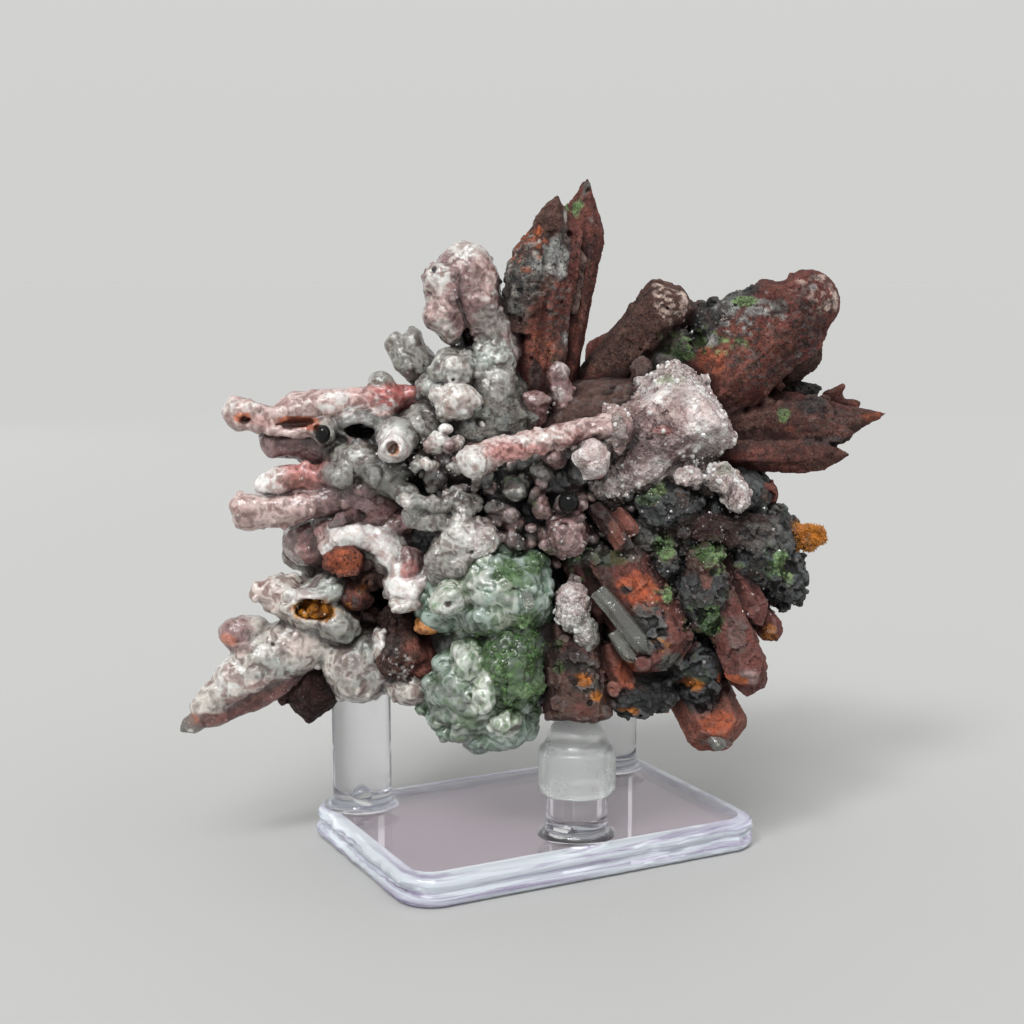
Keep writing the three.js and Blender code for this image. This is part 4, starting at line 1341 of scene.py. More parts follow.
heart = {
    "grain": 0.68, "bend": 1.4, "bendSize": 9, "wobble": 0.5, "wobbleSize": 3, "ribs": False, "worn": 0.3,
    "relief": (2.2, 0.5, 3, 0.3, 1.2, 0.6, 2.4, 0.7, 0.2), "leastPart": 2000,
    "knobs": [(900, 0.9, 2.6, "block"), (260, 0.8, 1.8, "ball"), (200, 0.8, 1.6, "pit")],
    "lumps": [
        ("dark", (-8, 4, 70), (28, 23, 21)), ("dark", (29, 6, 62), (20, 22, 24)),
        ("grey", (-10, 0, 90), (12, 15, 12)), ("brown", (19, 2, 86), (23, 18, 12)),
        ("slate", (-6, -4, 47), (19, 18, 16)), ("mauve", (-32, -1, 66), (13, 16, 19)),
        ("mauve", (-36, 0, 42), (8, 10, 10)), ("dark", (32, 2, 46), (13, 16, 16)),
        ("dark", (40, -3, 74), (10, 10, 7)), ("brown", (16, 27, 44), (12, 13, 12)),
    ],
    "strewn": [
        ("crystal", ("rust", "brown", "dark", "maroon"), 70, (-8, 4, 70), (28, 23, 21), (0, 1, 0),
            (1.5, 4), (3, 9), 5),
        ("crystal", ("rust", "brown", "dark", "red"), 60, (29, 6, 62), (20, 22, 24), (0.3, 1, 0),
            (1.5, 4), (3, 9), 6),
        ("finger", ("grey", "mauve", "white"), 40, (-32, -1, 66), (13, 16, 19), (-0.5, 1, 0), (1.5, 3),
            (3, 8), 7),
        ("crystal", ("dark", "rust", "slate"), 50, (-6, -4, 47), (19, 18, 16), (0, 1, -0.2), (1.5, 3.4),
            (3, 8), 8),
        ("crystal", ("rust", "brown", "red"), 40, (19, 2, 86), (23, 18, 12), (0, 1, 0.4), (1.5, 3.6),
            (3, 8), 9),
        ("crystal", ("dark", "rust", "brown"), 40, (16, 27, 44), (12, 13, 12), (0, 1, -0.3), (1.3, 3),
            (2, 6), 10),
        ("finger", ("grey", "mauve"), 26, (-36, 0, 42), (8, 10, 10), (-0.5, 1, 0), (1.3, 2.6), (2, 5), 11),
        ("crystal", ("dark", "rust", "brown"), 26, (32, 2, 46), (13, 16, 16), (0.6, 1, -0.3), (1.5, 3),
            (2, 6), 12),
        ("finger", ("grey", "mauve", "mint"), 24, (-10, 0, 90), (12, 15, 12), (-0.2, 1, 0.2), (1.5, 3),
            (3, 8), 13),
    ],
    "hollows": [((-31.5, -14, 53.2), (5.4, 13, 4.2))], "cuts": [pegPockets], "smooth": False,
}

spires = {
    "grain": 0.34, "bend": 0.3, "wobble": 0.12, "worn": 0.15, "ribs": False,
    "relief": (1.6, 0.1, 1.8, 0, 0.7, 0.3, 1.5, 0.6, 0.1),
    "knobs": [(260, 0.4, 1.1, "block"), (220, 0.4, 0.9, "pit")],
    "crystals": [
        ("rust", (2, 5, 88), (11.3, 5, 140), 5.2, 10, 30),
        ("rust", (-0.6, -2, 88), (6.7, -2, 134.4), 4.6, 6, 4),
        ("brown", (-1.5, -3, 108), (4.8, -4, 136), 3.6, 5, 35),
        ("brown", (-2, -3, 108), (1, -3.4, 131), 4.4, 5, 12),
        ("slate", (-3, -4, 112), (-1.6, -5, 126), 3.8, 4, 40),
        ("rust", (-4, 0, 88), (-2, -1, 110), 4.2, 5, 12),
        ("rust", (5.5, 2, 96), (9.4, 2.4, 118), 2.6, 3, 40),
        ("brown", (2.4, -5, 90), (5.2, -5.4, 108), 2, 2, 20),
        ("rust", (-1.6, -4, 92), (0.6, -4.6, 112), 2.2, 2, 0),
        ("slate", (7.6, -1, 112), (9.6, -1.4, 125), 1.6, 2, 10),
    ],
    "patches": [
        ("bone", (-2, -6, 121), (6, 8, 8), 0.75, 0.9), ("orange", (-1, -6, 124), (4, 6, 5), 0.5, 1.1),
        ("slate", (10.8, 2, 138.2), (1.7, 4, 2.2), 0.8), ("lime", (8, 1, 134.2), (2.2, 4, 3), 1),
        ("bluegrey", (12, 0, 131.2), (0.8, 2, 0.9), 0.8), ("bluegrey", (13.6, 0, 128.6), (1, 2, 1.2), 0.7),
        ("bluegrey", (7, -4, 107), (1.7, 3, 1.5), 0.7), ("slate", (11.5, 0, 124), (1.2, 3, 3), 0.4),
        ("white", (6.4, -5, 132.6), (0.6, 2, 2), 0.8), ("bluegrey", (4.4, -6, 123.5), (2.6, 4, 3.8), 1),
        ("white", (4.2, -6, 120.8), (1.6, 3, 1.2), 0.5), ("slate", (6.2, -6, 127), (1.6, 3, 3), 0.6),
        ("red", (2, -6, 107.5), (3.6, 5, 7), 1), ("orange", (1.4, -6, 105.5), (2.6, 5, 3.4), 0.3, 1),
        ("lime", (3.4, -6, 103), (1.2, 4, 1.4), 0.5, 0.9), ("slate", (5, -5, 112), (3, 5, 8), 0.6, 0.8),
        ("slate", (11, 0, 118), (3, 4, 10), 0.4, 0.8), ("red", (10.4, 0, 118), (3.4, 5, 16), 0.4),
        ("slate", (-1.2, -7, 120.5), (3.6, 5, 6), 0.9, 1.3),
        ("dark", (-2.4, -7, 119), (3, 5, 6), 0.8, 1.5), ("bluegrey", (0.8, -8, 121.5), (1.4, 3, 2.4), 0.5),
        ("orange", (0.6, -7, 128.4), (1.1, 3, 1.1), 0.95), ("white", (1.1, -8, 126.6), (0.45, 2, 0.5), 1),
        ("white", (2, -8, 125.6), (0.4, 2, 0.6), 1), ("dark", (-5, -1, 114), (2.2, 4, 4.4), 0.8),
        ("red", (8.5, 0, 100), (3, 4, 5), 0.5), ("slate", (0.4, -6, 99.5), (1.4, 4, 3), 0.5),
    ],
}

upperRight = {
    "grain": 0.38, "bend": 0.4, "wobble": 0.15, "worn": 0.35,
    "relief": (1.8, 0.15, 1.6, 0, 0.7, 0.32, 1.6, 0.6, 0.1),
    "knobs": [(620, 0.4, 1.3, "block"), (320, 0.4, 1, "pit"), (40, 0.5, 1, "ball")],
    "crystals": [
        ("brown", (9, 6, 90), (31, 4, 117.8), 6, 2.2, 15),
        ("brown", (13, 6, 95), (24, 5, 114), 3.6, 2, 40), ("rust", (21, 6, 81), (59, 3, 117.6), 9.6, 7, 5),
        ("brown", (44, 10, 92), (61, 9, 107.5), 4.5, 4, 20),
        ("dark", (44, 12, 91), (62, 10, 96), 5, 6, 30),
        ("rust", (36, 4, 86), (74.5, 2, 91.3), 7.2, 17, 25),
        ("rust", (38, -2, 83.5), (66, -3, 83), 3.8, 6, 10), ("rust", (37, 3, 86), (49, 2, 77), 4.2, 3, 30),
        ("rust", (42, -6, 76), (50.5, -7, 75.6), 2.3, 0.8, 0),
    ],
    "lumps": [
        ("rust", (57, 3, 114.4), (6.2, 8, 6.6)), ("slate", (42.6, 3, 114), (3, 4, 2.4)),
        ("dark", (36.5, 3, 109.4), (3.4, 5, 3.6)), ("dark", (46, 3, 114.8), (3.4, 4, 3)),
        ("slate", (27.4, 1, 101), (3.4, 5, 3)), ("dark", (31, 2, 105), (3.2, 5, 3)),
        ("slate", (40, 2, 112), (2.6, 4, 2.6)),
    ],
    "strewn": [
        ("crystal", ("dark", "brown", "slate"), 26, (38, 4, 106), (14, 6, 8), (-0.5, -0.2, 1),
            (0.8, 1.8), (0.5, 2.5), 31),
        ("crystal", ("rust", "brown"), 22, (54, 5, 92), (14, 7, 6), (0.2, -0.6, 0), (1, 2.4),
            (0.5, 3), 32),
    ],
    "patches": [
        # the maroon patch paints the crystal bases here dark: partly their own dark maroon, partly painted
        # shadow
        ("maroon", (13, -2, 94.5), (10, 14, 5), 0.85), ("dark", (12, -4, 93), (8, 12, 5), 0.5, 1.6),
        ("red", (41.5, -6, 103.5), (8.5, 7, 7), 0.75), ("orange", (36.5, -6, 102.5), (3.4, 5, 3.2), 0.4),
        ("cream", (57.5, -4, 115.6), (5, 6, 4.6), 0.55, 0.75),
        ("bluegrey", (43, -4, 112), (9, 6, 4), 0.7, 1.1), ("slate", (50, -5, 104), (12, 6, 9), 0.6, 0.8),
        ("dark", (56, -4, 110), (6, 6, 6), 0.6, 0.9), ("lime", (34, -2, 106), (9, 6, 3), 0.7, 1.3),
        ("cream", (28.6, -2, 114.6), (4, 5, 4), 0.85, 0.7), ("slate", (62, -3, 91), (10, 6, 5), 0.6, 0.8),
        ("brown", (60, -3, 88), (15, 9, 9), 0.6), ("dark", (56, -2, 93), (6, 6, 4), 0.5, 1.4),
        ("red", (50, -5, 107), (4, 5, 4), 0.5), ("brown", (42, -5, 89.5), (8, 6, 5.5), 0.8),
        ("brown", (52, -4, 98), (4, 6, 6), 0.6), ("bluegrey", (36, -4, 106.6), (1.9, 4, 1.7), 0.8),
        ("bluegrey", (45.6, -3, 112.6), (2.2, 4, 1.3), 0.8), ("slate", (49.5, -4, 113), (2, 4, 2), 0.7),
        ("bluegrey", (54.5, -5, 103.5), (1.2, 3, 0.9), 0.7), ("lime", (43.2, 0, 114.6), (3, 6, 1.1), 0.95),
        ("lime", (27.5, -1, 100.6), (2.2, 4, 1.1), 0.95), ("lime", (31.5, -1, 103.4), (1.8, 4, 1), 0.9),
        ("lime", (34.4, -1, 106), (1.2, 4, 1.2), 0.8), ("green", (29, 0, 104), (3, 4, 2), 0.5),
        ("cream", (59.6, -4, 113.6), (0.9, 4, 1.2), 0.9),
        ("cream", (61.6, -1, 114.6), (0.9, 5, 2.6), 0.95),
        ("cream", (58.8, -3, 119.4), (2.4, 4, 0.6), 0.9),
        ("bluegrey", (56.5, -5, 117.4), (1, 4, 0.8), 0.7), ("lime", (51.4, -4, 91.6), (1.1, 4, 1.9), 0.9),
        ("red", (52.6, -5, 88.2), (1.3, 4, 0.9), 0.9), ("dark", (57, -3, 94), (3.4, 4, 2.4), 0.7),
        ("cream", (74.6, 1, 91.4), (1, 4, 1.2), 0.95), ("brown", (68, 0, 90), (6, 5, 3), 0.5),
        ("orange", (70.6, 0, 90.6), (2.2, 4, 1.1), 0.4), ("dark", (60, -3, 86), (7, 5, 1), 0.6),
        ("cream", (30.9, 0, 114.4), (1, 4, 2.2), 0.95), ("cream", (25.4, -2, 113.6), (0.6, 3, 0.6), 0.7),
        ("cream", (24.6, 0, 118), (2.6, 3, 0.6), 0.7), ("cream", (14.2, 1, 107.8), (1.5, 4, 0.6), 0.7),
        ("cream", (17, 1, 110.6), (1.5, 4, 0.6), 0.7), ("red", (12, 0, 97), (4, 5, 4), 0.5),
    ],
    "hollows": [((48.2, -10, 75.4), (1.2, 3, 1.2))],
}

topFingers = {
    "grain": 0.34, "bend": 0.9, "bendSize": 5, "wobble": 0.35,
    "relief": (1.2, 0.22, 3, 0.26, 0.8, 0.5, 2, 0, 0), "softness": 0.4,
    "knobs": [
        (420, 0.4, 1, "ball"), (260, 0.3, 0.6, "ball"), (300, 0.4, 1, "block"), (80, 0.4, 0.9, "pit"),
    ],
    "fingers": [
        ("mauve", [(-7.5, -2, 90, 6.4), (-8.5, -2, 104, 6.4), (-12, -3, 113, 6.1), (-14.3, -4, 121, 5.6)]),
        ("mauve", [(-16.5, -8, 108.5, 2.6), (-18.3, -9, 112, 3.4), (-18.4, -9, 119, 3.3)]),
        ("grey", [(-22, -2, 97, 2.2), (-25.6, -3, 101.5, 2), (-28.4, -3, 106, 1.9)]),
        ("grey", [(-20, -3, 98, 3), (-23, -3, 103, 2.6), (-25, -3, 106.8, 2)]),
        ("grey", [(-8.5, -6, 86, 4.4), (-8.6, -7, 94, 4.2), (-8.6, -7, 102, 4.6)]),
        ("mauve", [(-1.5, -7, 87, 3.8), (0.2, -8, 94, 2.8)]),
        ("mauve", [(6, -6, 90, 2.8), (5.4, -6, 96, 2.2), (5.4, -6, 100.2, 2.3)]),
    ],
    "lumps": [
        ("grey", (-16, -9, 101), (4.8, 5, 4.6)), ("grey", (-20.5, -7, 96.4), (3.6, 5, 4)),
        ("white", (-15.4, -14, 95), (4.4, 4, 4.2)), ("white", (-19.2, -13, 96), (2, 3, 2.4)),
        ("grey", (-22, -8, 89), (6, 8, 5)), ("grey", (-8, -9, 96), (4, 4, 6)),
        ("grey", (-5.4, -8, 92), (3, 4, 5)),
    ],
    "patches": [
        ("mauve", (-12, -12, 120), (9, 9, 12), 0.45), ("bone", (-19.6, -12, 114), (3, 7, 9), 0.7, 1),
        ("bone", (-14, -12, 129), (6, 9, 2.6), 0.8, 1), ("bone", (-6, -12, 112), (3, 9, 12), 0.6, 1),
        ("white", (-15, -14, 102), (7, 9, 8), 0.6, 1.2), ("white", (-10, -12, 122), (7, 9, 9), 0.6, 0.8),
        ("white", (-14, -8, 125.4), (4.4, 6, 2.2), 0.85), ("blush", (-10, -8, 121), (3, 5, 5), 0.7),
        ("mauve", (-13.4, -9, 117), (3.4, 5, 5), 0.6), ("white", (-19, -12, 119.6), (2.4, 4, 3), 0.8),
        ("black", (-19.8, -12, 120.8), (0.6, 3, 0.7), 1), ("blush", (-19, -12, 114), (2.2, 4, 3.5), 0.5),
        ("white", (-18, -12, 109), (2.6, 4, 2.2), 0.5), ("grey", (-9, -8, 110), (4, 4, 4), 0.7),
        ("white", (-4.2, -4, 111), (1.6, 6, 9), 0.5), ("mint", (-9, -9, 104), (5, 5, 4), 0.6),
        ("mint", (-19, -11, 98), (4, 4, 4), 0.4), ("white", (-14.4, -18, 95.6), (3.2, 4, 3), 0.9),
        ("dark", (-14.5, -7, 106.6), (2.2, 4, 2.4), 0.9), ("brown", (-12, -12, 89), (2, 4, 3), 0.8),
        ("white", (6.2, -8, 101), (1.6, 3, 2.2), 0.4), ("dark", (-3, -10, 92), (1.4, 3, 4), 0.5),
        ("blush", (-16, -18, 90), (2, 3, 2), 0.6), ("white", (5, -8, 96), (1.5, 3, 1.5), 0.4),
    ],
    "hollows": [((-13.6, -8, 107), (1.6, 5, 2)), ((-19.9, -12.5, 120.8), (0.7, 2, 0.8))],
}

leftFingers = {
    "grain": 0.36, "softness": 0.7, "bend": 0.9, "bendSize": 5, "wobble": 0.35,
    "relief": (1.4, 0.12, 2.8, 0.3, 0.9, 0.36, 2, 0, 0),
    "knobs": [
        (150, 0.5, 1.4, "ball"), (80, 0.4, 0.8, "ball"), (120, 0.5, 1.1, "block"), (70, 0.5, 1, "pit"),
    ],
    "fingers": [
        ("blush", [(-59, -12, 92.3, 3.3), (-55, -11.6, 91.6, 2.8), (-51.8, -11, 91, 2.5),
            (-47, -10.4, 92.8, 3.3), (-41, -10, 94.2, 3.1), (-35, -9, 94.3, 3)]),
        ("blush", [(-52.4, -13, 89.6, 1.3), (-47, -12.6, 89, 1.4), (-42, -12, 89.6, 1.8)]),
        ("pink", [(-36, -9, 94.3, 3), (-30, -7, 94.8, 2.9), (-22, -5, 95.2, 2.7)]),
        ("mauve", [(-52.6, -9, 86, 2.9), (-46, -8, 85.6, 3.1), (-38, -6, 84.4, 4.8), (-28, -4, 82, 7)]),
        ("milk", [(-53.8, -13, 78.4, 2.7), (-51.8, -13, 78.6, 2.4)]),
        ("pink", [(-51.8, -13, 78.8, 2.4), (-45.5, -12, 79.4, 2.6), (-40, -11, 79.6, 3),
            (-32, -9, 79.6, 4.2)]),
        ("blush", [(-57.2, -14, 72.6, 3.4), (-51.5, -13.4, 73, 2.7), (-46.5, -13, 73.8, 3)]),
        ("mauve", [(-46.5, -13, 73.8, 3), (-41, -12, 74.6, 3.6), (-33, -11, 74.8, 3.7),
            (-25, -9, 74.2, 3.5)]), ("mauve", [(-46, -7, 65.6, 5.2), (-36, -5, 64, 6.5)]),
        ("milk", [(-40.8, -15.6, 65, 1.6), (-38.4, -16.4, 67.2, 2.2), (-34.6, -16.8, 68.4, 2.6),
            (-31, -17, 67, 2.3), (-29.2, -17.6, 64, 1.7), (-27.6, -18, 61, 1.9)]),
        ("milk", [(-27.8, -18, 58.8, 2.6), (-24.4, -19, 57.2, 2.2), (-21.4, -19, 59.6, 1.4),
            (-20.6, -19, 62.6, 1.2)]), ("grey", [(-30, -14, 78, 2.2), (-24.4, -16, 76.8, 1.9)]),
    ],
    "lumps": [
        ("grey", (-30.8, -6, 98.2), (2.8, 3, 1.9)), ("milk", (-27.8, -17.4, 86.6), (2.8, 8.6, 2.9)),
        ("grey", (-41.8, -12, 88.5), (2.5, 4, 2.8)), ("mauve", (-24.6, -17, 62.4), (2.8, 3, 3.4)),
        ("mauve", (-40.2, -13, 79.6), (2.3, 2.6, 2.3)), ("white", (-36.4, -12.6, 66.4), (7, 4.6, 3.4)),
        ("white", (-29, -13.6, 63.6), (4, 4.6, 5)), ("white", (-25, -15, 57), (6, 5, 3)),
        ("grey", (-30, -10, 80), (5, 8, 4)), ("slate", (-34, -8, 90), (7, 6, 4)),
        ("grey", (-35, -11, 83), (6.5, 6, 3.6)), ("slate", (-28, -12, 81), (5, 5, 4)),
        ("mauve", (-34, -9, 77), (8, 6, 3)), ("grey", (-34.6, -11, 65), (7, 5.4, 4)),
        ("mauve", (-38, -9, 69), (8, 6, 3.4)), ("mauve", (-28, -10, 70), (6, 6, 4)),
        ("grey", (-27, -14, 87.5), (4.4, 5, 4)),
    ],
    "strewn": [
        ("finger", ("grey", "mauve", "slate", "grey"), 16, (-32, -6, 80), (9, 12, 8), (-0.2, -1, 0),
            (1.4, 2.8), (1, 3), 51),
    ],
    "patches": [
        ("brown", (-37, -20, 60), (3.4, 7, 3.4), 0.75, 1.2),
        ("ochre", (-35.6, -20, 61), (2.4, 7, 3), 0.6, 0.9),
        ("orange", (-57.6, -15, 91.6), (1.7, 3, 1.3), 1), ("orange", (-47.2, -14, 90.6), (4.6, 5, 1.4), 1),
        ("white", (-60.5, -13, 94), (1.6, 4, 1.6), 0.4), ("pink", (-54.5, -13, 91), (2.4, 4, 1.4), 0.4),
        ("rose", (-27, -9, 95), (6.4, 5, 3.4), 0.95), ("white", (-37, -13, 92.8), (1.6, 3, 1.2), 0.8),
        ("blush", (-31, -11, 93), (1.9, 3, 1.4), 0.9), ("black", (-42.3, -17, 88.4), (1.3, 5, 1.7), 1),
        # painted shade: the dark patch fills the hollow at (-34.5, 88.6)
        ("dark", (-34.5, -14, 88.6), (3.6, 9, 2), 0.95), ("milk", (-27.8, -25, 86.6), (3.8, 8, 3.8), 1),
        ("ochre", (-27.4, -25.4, 86.6), (1.2, 5, 1.5), 0.8), ("red", (-46, -11, 86), (3, 4, 1.6), 0.25),
        ("milk", (-53.8, -15, 78.6), (2.2, 4, 2.6), 0.95),
        ("milk", (-40, -13, 94.4), (5, 4, 2.2), 0.6, 1.3), ("milk", (-30.5, -12, 94), (3, 4, 1.6), 0.7, 1),
        ("milk", (-57.4, -16, 94), (3, 4, 1.4), 0.6, 1), ("red", (-48.6, -14, 79), (3.2, 4, 1.6), 0.75),
        # painted shadow: the thin maroon patch is the dark band under the finger above it
        ("mauve", (-57.6, -18, 72.2), (2.2, 3, 2), 0.5), ("maroon", (-35, -14, 71.4), (7, 6, 0.9), 0.9),
        ("blush", (-50, -17, 72.4), (2.4, 3, 1.4), 0.5), ("white", (-49, -10, 64), (2, 5, 4), 0.35),
        ("rose", (-43, -12, 65.4), (5, 5, 5), 0.3), ("mauve", (-43, -12, 65), (6, 6, 5), 0.4),
        ("rust", (-38, -19, 62.2), (4, 4, 2.6), 0.5), ("orange", (-39.6, -19, 63.2), (1.8, 4, 1.2), 0.5),
        ("green", (-33.8, -18, 63.6), (1.6, 3, 1.8), 0.5), ("pink", (-24.8, -20, 61.6), (2, 3, 2.2), 0.7),
        ("brown", (-30.6, -18, 60.6), (1.6, 3, 2.4), 0.8), ("dark", (-37, -12, 70), (4, 5, 1.6), 0.6),
        ("slate", (-25, -14, 91), (4, 6, 3), 0.5),
    ],
    "hollows": [
        ((-34.5, -13, 88.6), (3.2, 9, 1.7)), ((-42.4, -17, 88.4), (1.5, 4, 2)),
        ((-27.4, -26, 86.6), (1.2, 4, 1.7)), ((-47.2, -14.4, 90.6), (4.2, 3.4, 1.1)),
        ((-57.6, -15, 91.6), (1.4, 2.6, 1.1)),
    ],
}

lowerLeft = {
    "grain": 0.36, "softness": 0.85, "bend": 0.9, "bendSize": 6, "wobble": 0.3, "worn": 0.6,
    "relief": (1.8, 0.1, 3.4, 0.45, 1.2, 0.34, 1.8, 0.15, 0),
    "knobs": [
        (70, 0.6, 1.8, "ball"), (40, 0.45, 0.9, "ball"), (140, 0.5, 1.3, "block"), (60, 0.5, 1.1, "pit"),
    ],
    "crystals": [("rust", (-46, -8, 39), (-72.4, -14, 27.6), 2.6, 5, 20)],
    "fingers": [
        ("bone", [(-45, -8, 52, 6.4), (-51, -11, 55, 4.2), (-56.2, -12, 56.6, 1.4)]),
        ("bone", [(-44, -8, 46, 6), (-55, -11, 42.5, 5.4), (-61.5, -13, 38, 4.2),
            (-67.5, -14, 32.6, 2.4)]),
    ],
    "lumps": [
        ("bone", (-46, -12, 52.6), (5.4, 5, 4.8)), ("bone", (-36, -8, 40), (7.8, 9, 7.8)),
        ("bone", (-31, -13, 44), (2.4, 5, 6)), ("bone", (-24, -12, 37), (6, 6, 4.4)),
        ("ochre", (-20.6, -18, 50.6), (2.6, 3, 2.2)), ("mauve", (-60, -12, 47.4), (3.8, 3.6, 3.6)),
        ("bone", (-57, -11, 48.4), (2.6, 3, 2.6)), ("bone", (-26, -18, 54.6), (5, 5, 1.8)),
        ("grey", (-41, -12, 57), (5, 5, 3.4)), ("milk", (-45, -16, 56), (3, 3, 1.6)),
        ("grey", (-40, -14, 50), (4, 5, 4)),
    ],
    "patches": [
        ("brown", (-37, -20, 60), (3.4, 7, 3.4), 0.75, 1.2),
        ("ochre", (-35.6, -20, 61), (2.4, 7, 3), 0.6, 0.9), ("grey", (-52, -20, 42), (9, 8, 5), 0.5, 2),
        ("amber", (-44.2, -18, 53.2), (4.2, 7, 2.3), 1),
        ("milk", (-44.2, -21, 53.2), (6.6, 4, 4.4), 0.6, 1.2),
        ("amber", (-44.2, -17, 53.2), (4, 5, 2.2), 1), ("blush", (-55, -14, 56), (4.4, 5, 3.4), 0.5),
        ("grey", (-54, -17, 45), (6, 5, 4), 0.4), ("grey", (-48, -17, 49), (5, 5, 3), 0.5, 1.6),
        ("mint", (-52, -17, 42), (6, 5, 4), 0.45, 2.5), ("grey", (-40, -17, 40), (6, 6, 5), 0.6, 2.2),
        ("milk", (-62, -17, 39), (6, 5, 3), 0.5, 1.6), ("blush", (-48, -16, 46), (4, 4, 3), 0.4),
        ("grey", (-58, -16, 43), (4, 4, 3), 0.35), ("orange", (-62, -16, 46.4), (2, 3, 2), 0.5),
        ("blush", (-59, -15, 44.6), (2, 3, 1.6), 0.6), ("rust", (-66, -17, 30.5), (5.4, 4, 1.6), 0.8),
        ("orange", (-69.5, -16, 30.4), (1.8, 3, 1.4), 0.6), ("blush", (-55, -16, 37.4), (5, 4, 1.8), 0.5),
        ("red", (-59, -15, 34.6), (5, 4, 1.4), 0.7), ("mint", (-34, -16, 42), (4, 4, 5), 0.35),
        ("mauve", (-37, -16, 42), (3, 4, 3), 0.4), ("white", (-30.6, -19, 45), (1.8, 4, 6), 0.8),
        ("mint", (-36, -17, 46), (4, 4, 3), 0.4), ("white", (-33, -15, 47.5), (1.8, 4, 1.8), 0.8),
        ("mint", (-41, -17, 58), (4, 4, 2), 0.4), ("blush", (-53, -16, 50), (3, 4, 3), 0.3),
        ("mint", (-45, -17, 57.4), (4, 4, 1.4), 0.4), ("white", (-26, -22, 54.8), (4, 3, 1.4), 0.6),
    ],
    "hollows": [((-31.5, -14, 53.2), (5.4, 13, 4.2)), ((-44.2, -19.4, 53.2), (4.7, 7, 2.9))],
    "cuts": [pegPockets],
}

leftRust = {
    "grain": 0.36, "bend": 0.6, "wobble": 0.25, "worn": 0.4, "ribs": False,
    "relief": (1.6, 0.1, 1.8, 0, 0.8, 0.3, 1.8, 0.7, 0.1),
    "knobs": [(260, 0.5, 1.5, "block"), (120, 0.4, 1, "pit")],
    "crystals": [
        ("maroon", (-44, -3, 46), (-46.6, -8, 27.2), 6.4, 5, 10),
        ("maroon", (-41, 0, 45), (-39.4, -4, 31.5), 5.2, 3, 0),
        ("maroon", (-46, -3, 43), (-56, -8, 33), 4, 3, 30),
        ("brown", (-50, -5, 44), (-52, -9, 31), 3.4, 4, 15),
        ("brown", (-27, -10, 51), (-26, -19, 39.5), 5.4, 2.5, 20),
        ("rust", (-22, -10, 49), (-21.6, -17.6, 38), 3.6, 2, 40),
        ("rust", (-37, -10, 60), (-35.4, -17, 53), 3.4, 2, 15),
        ("brown", (-38.6, -10, 54), (-38, -15, 49), 2.8, 1.5, 35),
        ("brown", (-33, -10, 61), (-32.6, -17, 58), 2.6, 1.5, 5),
        ("red", (-37.2, -11, 63.8), (-37.4, -19.8, 63.4), 3.7, 0.9, 12),
        ("red", (-39.4, -12, 62.8), (-40.6, -18, 62.6), 2.4, 0.7, 40),
        ("maroon", (-29.8, -12, 59.4), (-30, -17.4, 60), 2.6, 1, 20),
    ],
    "strewn": [
        ("crystal", ("amber", "amber", "ochre"), 40, (-44.2, -14.4, 53.2), (3.9, 2.6, 2.2), (0, -1, 0),
            (0.5, 1.2), (0.2, 1.5), 95),
        ("crystal", ("amber", "ochre", "brown"), 16, (-20.4, -17, 50.6), (2.4, 3, 2.2), (0, -1, 0),
            (0.5, 1.1), (0.2, 1.2), 96),
    ],
    "patches": [
        ("red", (-22.6, -19, 44), (3, 4, 5), 0.9), ("ochre", (-34.4, -19, 58), (1.6, 3, 1.6), 0.7),
        ("orange", (-37.6, -19, 63.6), (4, 4, 2.6), 0.55), ("white", (-27, -22, 42), (4, 4, 4), 0.6, 0.8),
        ("ochre", (-37.4, -19, 53.4), (2, 3, 1.8), 0.6), ("dark", (-29, -21, 47), (2.6, 4, 2.4), 0.7),
        # painted shade: the black patch fills the cavity at (-31, 51.6)
        ("black", (-31, -14, 51.6), (6, 5, 5), 0.7), ("slate", (-37, -19, 57), (3, 4, 3), 0.6, 1),
    ],
    "cuts": [pegPockets],
}

